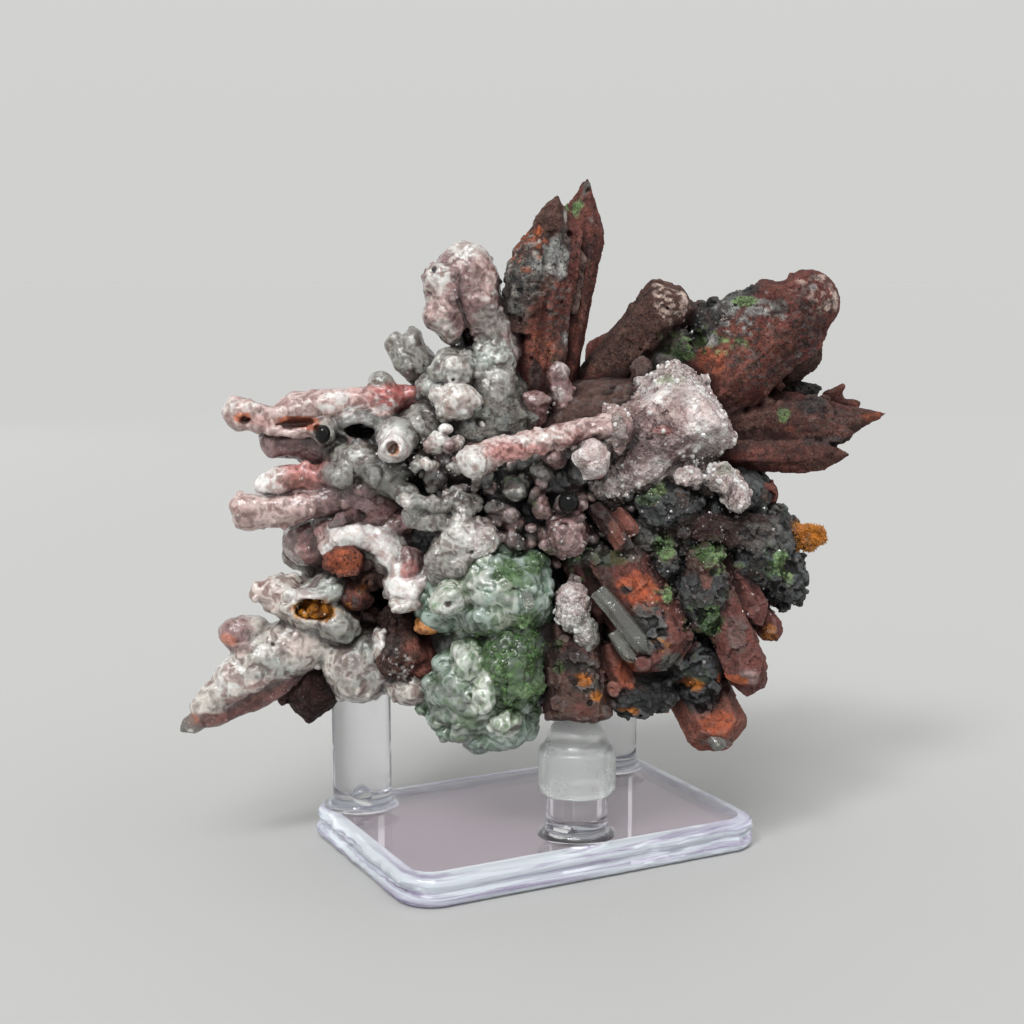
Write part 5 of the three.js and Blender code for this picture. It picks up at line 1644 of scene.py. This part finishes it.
centre = {
    "grain": 0.345, "bend": 0.8, "bendSize": 5, "wobble": 0.35, "ribs": False, "worn": 0.4,
    "softness": 0.35, "relief": (1.5, 0.22, 2.2, 0.28, 1, 0.42, 1.4, 0.3, 0.1),
    "knobs": [
        (420, 0.5, 1.3, "ball"), (140, 0.4, 0.8, "ball"), (360, 0.5, 1.3, "block"), (160, 0.5, 1.2, "pit"),
    ],
    "fingers": [
        ("blush", [(-12, -27, 84.3, 2.8), (-8, -26, 86, 2.7), (-2, -25, 87.6, 2.6), (4, -24, 88.8, 2.5),
            (14, -20, 90.5, 2.6)]),
        ("grey", [(-24.6, -26, 76, 1.8), (-20, -24, 75.6, 1.7), (-12, -22, 75.4, 2.2)]),
        ("grey", [(-24.3, -25, 72.8, 1.7), (-18, -22, 72.4, 2)]),
        ("grey", [(-13, -24, 76, 1), (-14.5, -22, 70, 3.6), (-16, -20, 64, 6)]),
    ],
    "lumps": [
        ("white", (-12, -28, 84.2), (2.9, 2.9, 2.9)), ("mauve", (6.6, -20, 69.6), (4.2, 7, 4.6)),
        ("grey", (-4, -20, 78.4), (2.4, 5, 2.2)), ("mauve", (4, -18, 84.4), (2.2, 8, 2.2)),
        ("maroon", (-8, -11, 74), (16, 7, 8)), ("maroon", (-2, -11, 70), (8, 7, 6)),
        ("dark", (-14, -9, 82), (10, 9, 6)), ("dark", (4, -9, 80), (9, 9, 6)),
        ("milk", (8.7, -26.6, 76.6), (0.5, 1.2, 1.9)), ("milk", (-17.5, -17, 90), (1.2, 1.4, 1.2)),
        ("grey", (7.6, -19.6, 54.4), (3, 4, 5)), ("grey", (10.4, -20, 49), (2.4, 3, 3)),
        ("white", (-15.4, -17, 87), (1.7, 1.8, 1.7)), ("white", (-13, -22, 68.6), (6, 4, 4.6)),
    ],
    "strewn": [
        ("finger", ("grey", "slate", "dark", "mauve", "blush"), 64, (-8, -6, 77), (17, 14, 8),
            (0, -1, 0), (0.9, 2.3), (1, 6), 61),
        ("finger", ("mauve", "brown", "dark", "maroon"), 50, (2, -6, 71), (13, 14, 7), (0, -1, 0),
            (0.8, 2), (1, 6), 62),
        ("finger", ("grey", "white", "mauve"), 20, (-17, -6, 84), (8, 12, 8), (-0.2, -1, 0), (0.9, 2),
            (1, 5), 63),
        ("crystal", ("maroon", "brown", "dark"), 24, (10, -4, 76), (12, 14, 8), (0, -1, 0), (0.9, 1.8),
            (1, 5), 64),
    ],
    "patches": [
        ("pink", (-4, -27, 86.4), (7, 4, 1.8), 0.75), ("pink", (7, -24, 88.6), (4, 4, 1.7), 0.6),
        ("mauve", (11, -22, 90), (4, 4, 2), 0.5), ("blush", (2, -26, 89.6), (7, 3, 1.7), 0.8),
        ("milk", (0, -26, 89.6), (7, 3, 1.4), 0.6, 1.2), ("white", (-1.8, -28, 88.4), (1, 3, 1), 0.8),
        ("white", (-12, -30, 84.4), (3, 3, 3), 0.7), ("white", (-24.8, -27, 76.4), (1.5, 2.5, 1.5), 0.7),
        ("white", (-14.6, -25, 70), (1.4, 4, 6), 0.35), ("druse", (-11, -26, 69), (2.2, 4, 3), 0.7),
        ("blush", (6.6, -27, 69), (3.6, 3, 3.6), 0.4, 1.2), ("green", (-6, -22, 80.6), (2.6, 4, 1.2), 0.7),
        ("green", (-1, -22, 75.4), (2.2, 4, 1), 0.6), ("green", (2.4, -20, 66.4), (2.4, 4, 1.2), 0.6),
        ("black", (-2.4, -22, 68.6), (1.6, 4, 2.4), 0.9), ("maroon", (-8, -22, 73), (8, 8, 3), 0.6, 1.4),
        ("black", (-14, -20, 77.4), (8, 8, 1.6), 0.7, 1.2), ("black", (6, -22, 72.4), (5, 8, 1.2), 0.7, 1),
        ("maroon", (-12, -20, 79), (12, 9, 3.4), 0.8, 1.8), ("dark", (0, -20, 78), (9, 9, 4), 0.7, 1.5),
        ("brown", (2, -20, 72), (9, 8, 5), 0.5, 1.8), ("dark", (-22, -16, 80), (5, 8, 4), 0.6, 1.6),
        ("mauve", (-6, -23, 72.4), (3.4, 4, 3), 0.5), ("orange", (-15.6, -28, 82.6), (1.4, 3, 1.8), 0.9),
    ],
}

druseBlock = {
    "grain": 0.34, "bend": 0.8, "wobble": 0.35, "worn": 0.9, "ribs": False,
    "relief": (1.4, 0.15, 2, 0.25, 0.7, 0.28, 1.2, 0.5, 0.1),
    "knobs": [
        (340, 0.4, 1.3, "block"), (150, 0.9, 2.4, "block"), (90, 0.6, 1.5, "ball"), (120, 0.4, 0.8, "pit"),
    ],
    "crystals": [("druse", (12, -7, 79), (36.4, -10, 96.2), 10.6, 2, 12)],
    "lumps": [
        ("milk", (11.4, -22, 84.6), (3.8, 6, 4)), ("blush", (16.2, -18, 90), (3, 6, 4.2)),
        ("druse", (27, -8, 89.5), (8.6, 9.4, 7)), ("druse", (21, -9, 83), (8, 10.4, 7)),
        ("druse", (36.8, -13, 79.4), (3.8, 8, 3)), ("druse", (40.4, -13, 76.2), (3, 8, 3.6)),
        ("druse", (30, -16, 80.4), (3.2, 4, 2.4)), ("druse", (7.6, -20.6, 54.6), (3.4, 4, 5.6)),
        ("druse", (9.8, -20.4, 49.4), (2.4, 3.4, 3.2)),
    ],
    "patches": [
        ("mauve", (24, -18, 86.6), (8, 9, 6.4), 0.8), ("mauve", (20, -18, 91), (6, 9, 6), 0.8, 2.6),
        ("maroon", (19, -19, 87), (7, 8, 6), 0.6, 1), ("milk", (33, -18, 93.4), (6, 8, 5), 1),
        ("blush", (20, -18, 93), (4, 8, 4), 0.7), ("milk", (26, -16, 97), (6, 8, 2.4), 0.8),
        ("milk", (32, -18, 86), (4, 8, 2.4), 0.9, 1.8), ("brown", (23, -19, 86.4), (6, 8, 5), 0.7, 1.5),
        ("maroon", (23.6, -19, 85), (4, 6, 2), 0.6, 1.2), ("mauve", (15, -18, 89), (4, 8, 4), 0.5, 1.2),
        ("pink", (25.4, -20, 89.6), (2.2, 5, 1), 0.7), ("mauve", (19, -19, 84), (3.4, 6, 3.4), 0.5),
        ("milk", (24, -20, 81), (5, 6, 2.6), 0.6), ("milk", (38, -20, 78), (5, 6, 3.4), 0.6, 1.6),
        ("blush", (27.6, -19, 94), (3.4, 6, 2.6), 0.6), ("lime", (27, -12, 99), (3.4, 5, 1.4), 0.6),
        ("cream", (12.4, -27, 85), (2, 4, 2.4), 0.3, 0.8), ("grey", (15, -23, 90), (2.4, 4, 3.4), 0.5),
        ("milk", (7.6, -24, 57), (3, 5, 3), 0.6, 1.2), ("grey", (8, -24, 52), (5, 6, 6), 0.6, 1.6),
        ("mint", (9, -24, 50), (4, 6, 4), 0.5), ("orange", (13.2, -24, 80.6), (1.2, 4, 1), 0.8),
        ("green", (38, -20, 82), (2.4, 4, 1.4), 0.6), ("grey", (34.6, -20, 79), (2, 4, 2), 0.4),
        ("mauve", (17, -16, 95), (3, 4, 3), 0.4),
    ],
    "smooth": False,
}

mintMass = {
    "grain": 0.3, "bend": 1.2, "bendSize": 4, "wobble": 0.5, "wobbleSize": 1.8,
    "relief": (1.3, 0.24, 3.4, 0.75, 0.9, 0.4, 2, 0, 0),
    "knobs": [(60, 0.8, 1.8, "ball"), (200, 0.4, 1.2, "block"), (60, 0.5, 1.1, "pit")],
    "lumps": [
        ("mint", (-7, -18, 57), (11, 10, 9)), ("mint", (-18, -16, 55), (6, 7, 6)),
        ("mint", (-12, -16, 38), (10, 10, 9)), ("green", (-5, -20, 43), (6.4, 8, 9)),
        ("mint", (-7.5, -16, 30), (7.6, 8, 5.4)), ("mint", (-16, -14, 32.4), (6, 8, 5.2)),
        ("white", (-16.8, -25, 57.4), (2.8, 6, 2.8)), ("white", (-13.6, -22, 44.6), (3, 5, 3)),
        ("white", (-10, -22.5, 37.6), (2.2, 5, 4.6)), ("white", (-6.4, -21.5, 31.6), (3, 5, 2.2)),
    ],
    "strewn": [
        ("finger", ("mint", "white", "mint"), 30, (-8, -14, 57), (11, 10, 9), (-0.2, -1, 0.1),
            (1.4, 2.8), (0, 1.5), 91),
        ("finger", ("mint", "green", "mint"), 40, (-10, -13, 38), (11, 11, 12), (-0.3, -1, -0.3),
            (1.4, 2.8), (0, 1.5), 92),
    ],
    "patches": [
        ("green", (-6, -27, 46), (8.6, 9, 7.6), 0.95), ("green", (-4, -27, 39), (5.6, 8, 7), 0.95),
        ("green", (-2, -27, 52), (4.4, 7, 4), 0.9), ("dark", (-4, -27, 45.6), (8, 9, 7), 0.55, 1.6),
        ("slate", (-15, -22, 34), (8, 9, 8), 0.75, 2.4), ("grey", (-15, -22, 35), (9, 9, 8), 0.5),
        ("green", (-13, -24, 33), (8, 8, 7), 0.6, 1.6), ("lime", (-2.2, -28, 52.8), (1.6, 4, 1.4), 0.8),
        ("lime", (-1.4, -28, 38.4), (2, 4, 2.6), 0.8), ("lime", (-7.5, -28, 42), (3, 4, 3), 0.6, 1),
        ("green", (-5, -27, 62), (3, 6, 3.2), 0.9), ("green", (0.4, -24, 64), (2.6, 6, 2.4), 0.9),
        ("green", (-1, -27, 57), (2, 6, 5), 0.8, 1.6), ("slate", (-12, -24, 51.6), (9, 8, 3), 0.6, 2),
        ("bone", (-14, -26, 60), (5, 5, 5), 0.6), ("bone", (-6, -28, 56), (3, 4, 5), 0.5),
        ("white", (-13.6, -25, 44.6), (3.2, 5, 3), 0.85), ("white", (-10, -26, 37.6), (2.4, 5, 5), 0.9),
        ("white", (-6.4, -25, 31.4), (3.6, 5, 2.2), 0.85), ("brown", (-3.4, -26, 31), (2.2, 4, 0.9), 0.9),
        ("white", (-17, -29, 57.6), (2.6, 4, 2.6), 0.9),
        ("maroon", (-16.8, -30.4, 57.3), (0.7, 3, 0.6), 1), ("dark", (1.4, -20, 45), (1.2, 6, 7), 0.5),
    ],
    "cuts": [pegPockets],
}

lowerRight = {
    "grain": 0.385, "softness": 0.45, "bend": 0.22, "wobble": 0.14, "worn": 0.12,
    "relief": (1.6, 0.1, 1.6, 0, 0.8, 0.32, 2.2, 1.1, 0.1),
    "knobs": [(900, 0.5, 2.2, "block"), (260, 0.4, 1.1, "pit"), (40, 0.4, 1, "ball")],
    "crystals": [
        ("rust", (15.4, -14, 64), (27.4, -21, 41.6), 7.2, 3, 33),
        ("brown", (7, -15, 50), (9, -21, 30.4), 6.6, 1.2, 25),
        ("brown", (2.5, -14, 48), (3.8, -17, 34), 3.4, 3, 0),
        ("dark", (12, -12, 46), (14.6, -17, 33.4), 3.4, 3, 10),
        ("red", (15, -16, 46), (19, -20, 36), 3, 2, 0),
        ("rust", (34, -12, 63), (44.5, -19, 37), 4.8, 4, 10),
        ("rust", (10, -15, 62), (13, -18, 50), 3.6, 3, 20),
        ("dark", (26, -14, 46), (31, -18, 38), 3.6, 2, 15),
        ("rust", (37, -8, 65), (46, -17, 50), 3.2, 3, 40),
        ("rust", (38, -8, 44), (46, -17, 36.5), 3.8, 2, 0),
        ("red", (31, -6, 41), (39.4, -15, 23.6), 6.6, 3, 20),
        ("rust", (44, -6, 54), (50, -13, 46), 3, 2, 20),
        ("maroon", (26, -14, 70.6), (50, -12, 67.4), 3.9, 1, 30),
        ("maroon", (12, -17, 74.4), (18, -22, 66.4), 2, 0.8, 15),
        ("red", (16.4, -16, 73), (20, -20, 69), 1.8, 1, 15),
    ],
    "lumps": [
        ("dark", (27, -14, 74), (7, 6, 5.5)), ("dark", (46, -6, 64), (8.6, 11, 8.6)),
        ("dark", (51, -8, 58.4), (5, 7, 6)), ("dark", (34, -14, 56), (6, 7, 8)),
        ("dark", (30, -10, 44), (7, 8, 7)), ("dark", (33.6, -16, 40), (4.4, 4.4, 5.6)),
        ("ochre", (56.2, -8, 66.4), (3.2, 3.2, 2.3)), ("ochre", (53.8, -8, 67.4), (2.2, 2.6, 1.8)),
        ("slate", (22, -12, 68), (5, 6, 4)), ("dark", (21, -10, 38.4), (10, 10, 5.8)),
        ("dark", (21.4, -15, 36.2), (8, 8, 4.8)), ("brown", (30, -4, 35), (7, 8, 5)),
        ("slate", (12, -15, 64), (5, 5, 3)),
    ],
    "strewn": [
        ("crystal", ("dark", "slate", "dark", "brown"), 60, (30, -6, 62), (13, 14, 14), (0, -1, 0),
            (1.2, 3), (0.5, 3), 71),
        ("crystal", ("dark", "slate", "dark"), 50, (47, -4, 63), (9, 11, 11), (0.3, -1, 0), (1, 2.4),
            (0.3, 2), 72),
        ("crystal", ("dark", "brown", "rust"), 30, (30, -6, 42), (12, 10, 8), (0, -1, -0.2), (1.2, 2.6),
            (0.5, 3), 73),
        ("crystal", ("dark", "slate", "brown"), 24, (28, -8, 75), (9, 10, 6), (0, -1, 0.1), (1, 2.2),
            (0.5, 2.5), 74),
    ],
    "patches": [
        ("green", (35, -15, 65.4), (3.6, 7, 2.6), 0.9),
        ("lime", (36.3, -16, 63.6), (3.2, 7, 3), 0.85, 1.2),
        ("green", (47, -12, 63), (3.4, 7, 5.4), 0.8, 1.4),
        ("lime", (47.6, -13, 64), (2.4, 7, 3.4), 0.8, 1),
        ("green", (33.2, -18, 51.6), (4.2, 7, 5), 0.75, 1.6),
        ("lime", (25.6, -18, 66.4), (2.2, 7, 2.2), 0.8), ("green", (8.6, -20, 63), (4.6, 7, 4), 0.85, 1.8),
        ("lime", (24, -19, 56.6), (2.4, 6, 2.6), 0.6, 1),
        ("orange", (20.4, -22, 58.4), (4.2, 6, 3.6), 0.75),
        ("dark", (17.8, -26, 58.8), (1.5, 4, 1.7), 0.95), ("red", (26.4, -20, 52), (1.6, 6, 7), 0.7),
        ("brown", (13.5, -20, 60), (2.2, 6, 5), 0.9), ("dark", (22, -25, 51), (4.2, 6, 4.4), 0.9),
        ("slate", (22, -25, 51.5), (4, 6, 4.4), 0.8, 1.2), ("ochre", (25, -26, 47.6), (2.6, 4, 2), 0.8, 1),
        ("slate", (27, -22, 43.4), (3.2, 8, 2.8), 1), ("orange", (18.4, -22, 42), (2, 4, 3), 0.7),
        ("red", (14.6, -22, 40), (2.6, 4, 4), 0.8), ("red", (11.6, -22, 49), (2, 4, 4), 0.8),
        # painted shade: the black patch is the dark cavity under the crystals above it
        ("red", (9.5, -26, 58.6), (2.6, 3, 1.4), 0.7), ("black", (24, -20, 36.6), (8, 8, 2.6), 0.75),
        ("ochre", (19, -20, 33.6), (2.2, 5, 1), 0.8), ("dark", (8, -22, 44), (4, 5, 3), 0.6),
        ("slate", (11, -23, 40), (3, 5, 4), 0.6), ("ochre", (9.8, -25, 41), (1.8, 4, 1.4), 0.95),
        ("ochre", (12.2, -25, 37.6), (1.8, 4, 1.2), 0.95), ("rust", (9, -24, 35), (2, 4, 1.6), 0.6),
        ("dark", (8, -24, 46), (5, 5, 5), 0.6, 1.4), ("green", (5, -22, 43), (1.4, 4, 1.4), 0.7),
        ("blush", (7.6, -26, 51), (3, 4, 4.4), 0.5), ("green", (3.6, -24, 47.6), (2, 4, 1.8), 0.7),
        ("slate", (40.5, -20, 49), (2.4, 4, 4), 0.35), ("blush", (42.8, -24, 40.4), (2.2, 4, 2.4), 0.5),
        ("orange", (39.6, -21, 39.4), (2.8, 8, 1.7), 1), ("red", (34, -18, 60), (1.4, 4, 2.6), 0.6),
        ("orange", (37.4, -18, 30), (4, 6, 2.6), 0.6), ("dark", (33, -16, 37), (6, 6, 3), 0.9),
        ("slate", (38, -18, 25.6), (5, 5, 1.2), 0.6), ("ochre", (27.5, -17, 31.6), (1.2, 5, 2), 0.7),
        ("dark", (32.6, -17, 34.6), (5, 4, 2.6), 0.8), ("bluegrey", (38.5, -20, 24.8), (2.4, 5, 0.8), 0.6),
        ("ochre", (31.9, -20, 38.8), (2.4, 4, 1.2), 0.95), ("ochre", (48, -15, 47.5), (2, 5, 2), 0.7),
        ("lime", (38, -20, 63.5), (1.5, 5, 1.1), 1), ("lime", (41.2, -20, 62), (1.8, 5, 1.2), 1),
        ("lime", (49.6, -17, 62.6), (1.6, 6, 2.6), 0.95), ("lime", (51.2, -16, 59.4), (1, 6, 1.6), 0.9),
        ("green", (25, -20, 66), (1.8, 5, 1.6), 0.8), ("lime", (26.6, -20, 57), (1.4, 5, 1.6), 0.9),
        ("green", (35, -21, 51.6), (2.6, 5, 4), 0.85), ("lime", (23.6, -20, 78), (2.4, 5, 2), 0.8),
        ("green", (22, -20, 76), (2.4, 5, 1.6), 0.6), ("green", (15, -20, 64.5), (4, 5, 1.6), 0.6),
        ("bluegrey", (46.4, -18, 58.6), (1.4, 4, 0.5), 0.8), ("slate", (20, -20, 66), (2.6, 5, 2.2), 0.6),
        ("rust", (38, -20, 73.4), (5, 5, 1), 0.6), ("maroon", (38, -18, 69.4), (12, 6, 3.4), 0.85),
        ("red", (16, -22, 69.4), (1.6, 4, 3.4), 0.7), ("slate", (47, -15, 68), (6, 6, 3), 0.5),
        ("mauve", (30.8, -21, 46.6), (1.6, 3, 1.6), 0.6),
    ],
    "cuts": [pegPockets], "smooth": False,
}

backCrystals = {
    "grain": 0.5, "bend": 0.8, "wobble": 0.3, "worn": 0.6,
    "relief": (2, 0.3, 1.8, 0, 1, 0.35, 2, 0.7, 0.12), "knobs": [(400, 0.7, 1.8, "block")],
    "crystals": [
        ("rust", (0, 14, 84), (-4, 28, 113), 5.6, 8, 10),
        ("rust", (12, 14, 88), (18, 30, 107), 4.6, 6, 35),
        ("rust", (22, 14, 82), (45, 38, 101), 6.2, 9, 25), ("rust", (4, 18, 66), (12, 49, 76), 7, 8, 5),
        ("mauve", (-20, 14, 74), (-44, 34, 86), 5.4, 5, 30),
        ("rust", (-20, 14, 54), (-40, 38, 46), 5, 7, 15), ("red", (20, 26, 46), (38, 44, 40), 5.4, 6, 20),
        ("rust", (32, 16, 64), (54, 34, 62), 6, 7, 0), ("brown", (-6, 20, 54), (-14, 46, 58), 5.2, 6, 30),
    ],
    "patches": [
        ("red", (12, 44, 74), (5, 5, 5), 0.6), ("lime", (2, 30, 72), (4, 5, 3), 0.7),
        ("slate", (44, 34, 98), (5, 5, 4), 0.6), ("white", (-42, 33, 85), (5, 5, 5), 0.7),
        ("green", (20, 26, 56), (4, 5, 4), 0.7), ("cream", (-4, 28, 112), (3, 3, 2), 0.7),
        ("orange", (36, 43, 41), (4, 4, 4), 0.5), ("bluegrey", (52, 33, 62), (4, 4, 4), 0.5),
    ],
    "cuts": [pegPockets],
}

blackBead = {
    "grain": 0.25, "bend": 0.2, "wobble": 0.1, "leastPart": 60,
    "relief": (1.6, 0, 1.8, 0, 0.8, 0.06, 1.3, 0, 0),
    "lumps": [
        ("black", (6.6, -25.6, 76.4), (2.1, 2.2, 2.2)), ("black", (-42, -15.4, 88.5), (1.5, 1.6, 1.8)),
    ],
}

clearOnes = {
    "grain": 0.28, "bend": 0.25, "wobble": 0.1, "worn": 0.12, "ribs": False, "leastPart": 60,
    "relief": (1.6, 0, 1.8, 0, 0.8, 0.12, 1.3, 0, 0.1),
    "crystals": [
        ("white", (12.4, -22.4, 58.4), (22.8, -26.4, 46.2), 1.9, 2.4, 10),
        ("white", (15.8, -22.4, 50), (20, -24.8, 44), 1.7, 1.5, 30),
        ("white", (-67, -13.4, 30.4), (-72.4, -14.6, 27.2), 2.1, 2.4, 20),
        ("white", (-1.6, -28, 59.4), (-1, -29.4, 55.6), 1.2, 0.8, 5),
        ("white", (36.4, -16.6, 27.2), (38.4, -18.2, 24.6), 1.7, 1.2, 15),
    ],
}

grown = {
    name: growPiece(name, values, material, seed) for seed, (name, values, material) in enumerate([
        ("stone_heart", heart, matrixSkin), ("upright_spires", spires, rustSkin),
        ("upper_right_crystals", upperRight, rustSkin), ("coated_top_fingers", topFingers, chalcedony),
        ("coated_left_fingers", leftFingers, chalcedony), ("lower_left_crystals", lowerLeft, chalcedony),
        ("centre_crust", centre, chalcedony), ("sparkling_block", druseBlock, druseSkin),
        ("mint_mass", mintMass, mintCrust), ("lower_right_crystals", lowerRight, matrixSkin),
        ("back_crystals", backCrystals, rustSkin), ("clear_crystals", clearOnes, clearQuartz),
        ("black_beads", blackBead, blackGlass), ("rusty_left_crystals", leftRust, rustSkin),
    ], 1)
}
# the depth behind the painted shade: grid cell and reach in mm, and the open and fully buried levels
depthValues = {"cell": 0.9, "reach": 0.9, "open": 0.29, "buried": 0.50}
addDepth(grown.values(), depthValues)
print("stone grown")

# what is strewn on each of them: number per square millimetre, radius in mm, length as a multiple of radius

drusePoints = {
    "perSquare": 0.55, "radius": (0.18, 0.70), "slim": 1.3, "lean": 0.8, "sink": 0.2, "seed": 3,
    "rough": 0.08, "sparkle": 1.0, "own": 0.85, "colour": (0.70, 0.69, 0.68), "cover": -0.2, "patch": 2.4,
    "spots": [((11.4, -25, 84.6), (6, 8, 6), -1)],
}
centrePoints = {
    "perSquare": 0.45, "radius": (0.14, 0.44), "slim": 1.8, "lean": 0.9, "sink": 0.2, "seed": 4,
    "rough": 0.06, "own": 0.5, "colour": (0.55, 0.53, 0.52), "cover": 0.0, "patch": 1.8,
    "spots": [
        ((-8, -24, 70), (10, 14, 7), 1), ((6, -22, 68), (8, 12, 7), 1), ((-20, -12, 84), (6, 12, 5), 0.7),
        ((-26, -14, 82), (8, 12, 4), 0.6), ((-10, -24, 80), (14, 14, 4), 0.6),
        ((4, -8, 92), (5, 8, 7), 0.8), ((-27, -19, 42), (4, 6, 5), 1), ((-45, -17, 53), (6, 5, 4), 0.5),
        ((-14, -10, 118), (6, 8, 9), 0.35), ((22, -18, 76), (9, 12, 4), 0.8),
        ((32, -14, 58), (22, 14, 18), 0.10), ((18, -18, 68), (5, 12, 5), 0.5),
        ((-16, -12, 96), (6, 8, 8), 0.3),
    ],
}
darkPoints = {
    "perSquare": 1.6, "radius": (0.16, 0.50), "slim": 1.8, "lean": 0.9, "sink": 0.2, "seed": 5,
    "rough": 0.20, "own": 0.25, "colour": (0.09, 0.095, 0.095), "cover": 0.1, "patch": 3.0,
    "spots": [
        ((30, -10, 60), (16, 16, 20), 0.7), ((47, -6, 62), (10, 12, 12), 0.7),
        ((8, -18, 40), (7, 8, 9), 0.6), ((30, -8, 40), (10, 12, 6), 0.8), ((26, -12, 75), (8, 10, 6), 0.7),
        ((38, 2, 110), (12, 8, 5), 0.5),
    ],
}
greenBeads = {
    "perSquare": 3.0, "radius": (0.18, 0.55), "slim": 0.8, "lean": 0.6, "sink": 0.45, "seed": 6,
    "rough": 0.30, "green": 1.0, "round": True, "own": 0.15, "colour": (0.14, 0.26, 0.07), "cover": -0.25,
    "patch": 1.6,
}
tuftNeedles = {
    "perSquare": 9.0, "radius": (0.10, 0.22), "slim": 7.0, "lean": 0.6, "sink": -0.25, "seed": 7,
    "rough": 0.45, "own": 0.8, "colour": (0.50, 0.20, 0.02), "cover": 0.6,
    "spots": [((56.4, -8, 66.6), (5, 6, 4), 1)],
}
coats = [grown[name] for name in ("centre_crust", "coated_top_fingers", "coated_left_fingers",
                                  "lower_left_crystals", "lower_right_crystals")]
strewGrowths("druse_points", [grown["sparkling_block"]], drusePoints, druseGlass)
strewGrowths("crust_points", coats + [grown["rusty_left_crystals"]], centrePoints, druseGlass)
darkOnes = [grown[name] for name in ("lower_right_crystals", "upper_right_crystals", "stone_heart")]
strewGrowths("dark_points", darkOnes, darkPoints, darkGlass)
strewGrowths("green_beads", [grown[name] for name in ("mint_mass", "lower_right_crystals", "centre_crust")],
             greenBeads, greenSkin)
strewGrowths("ochre_needles", [grown["lower_right_crystals"]], tuftNeedles, ochreSkin)
print("growths strewn")

print(f"made in {time.time() - started:.1f} s")
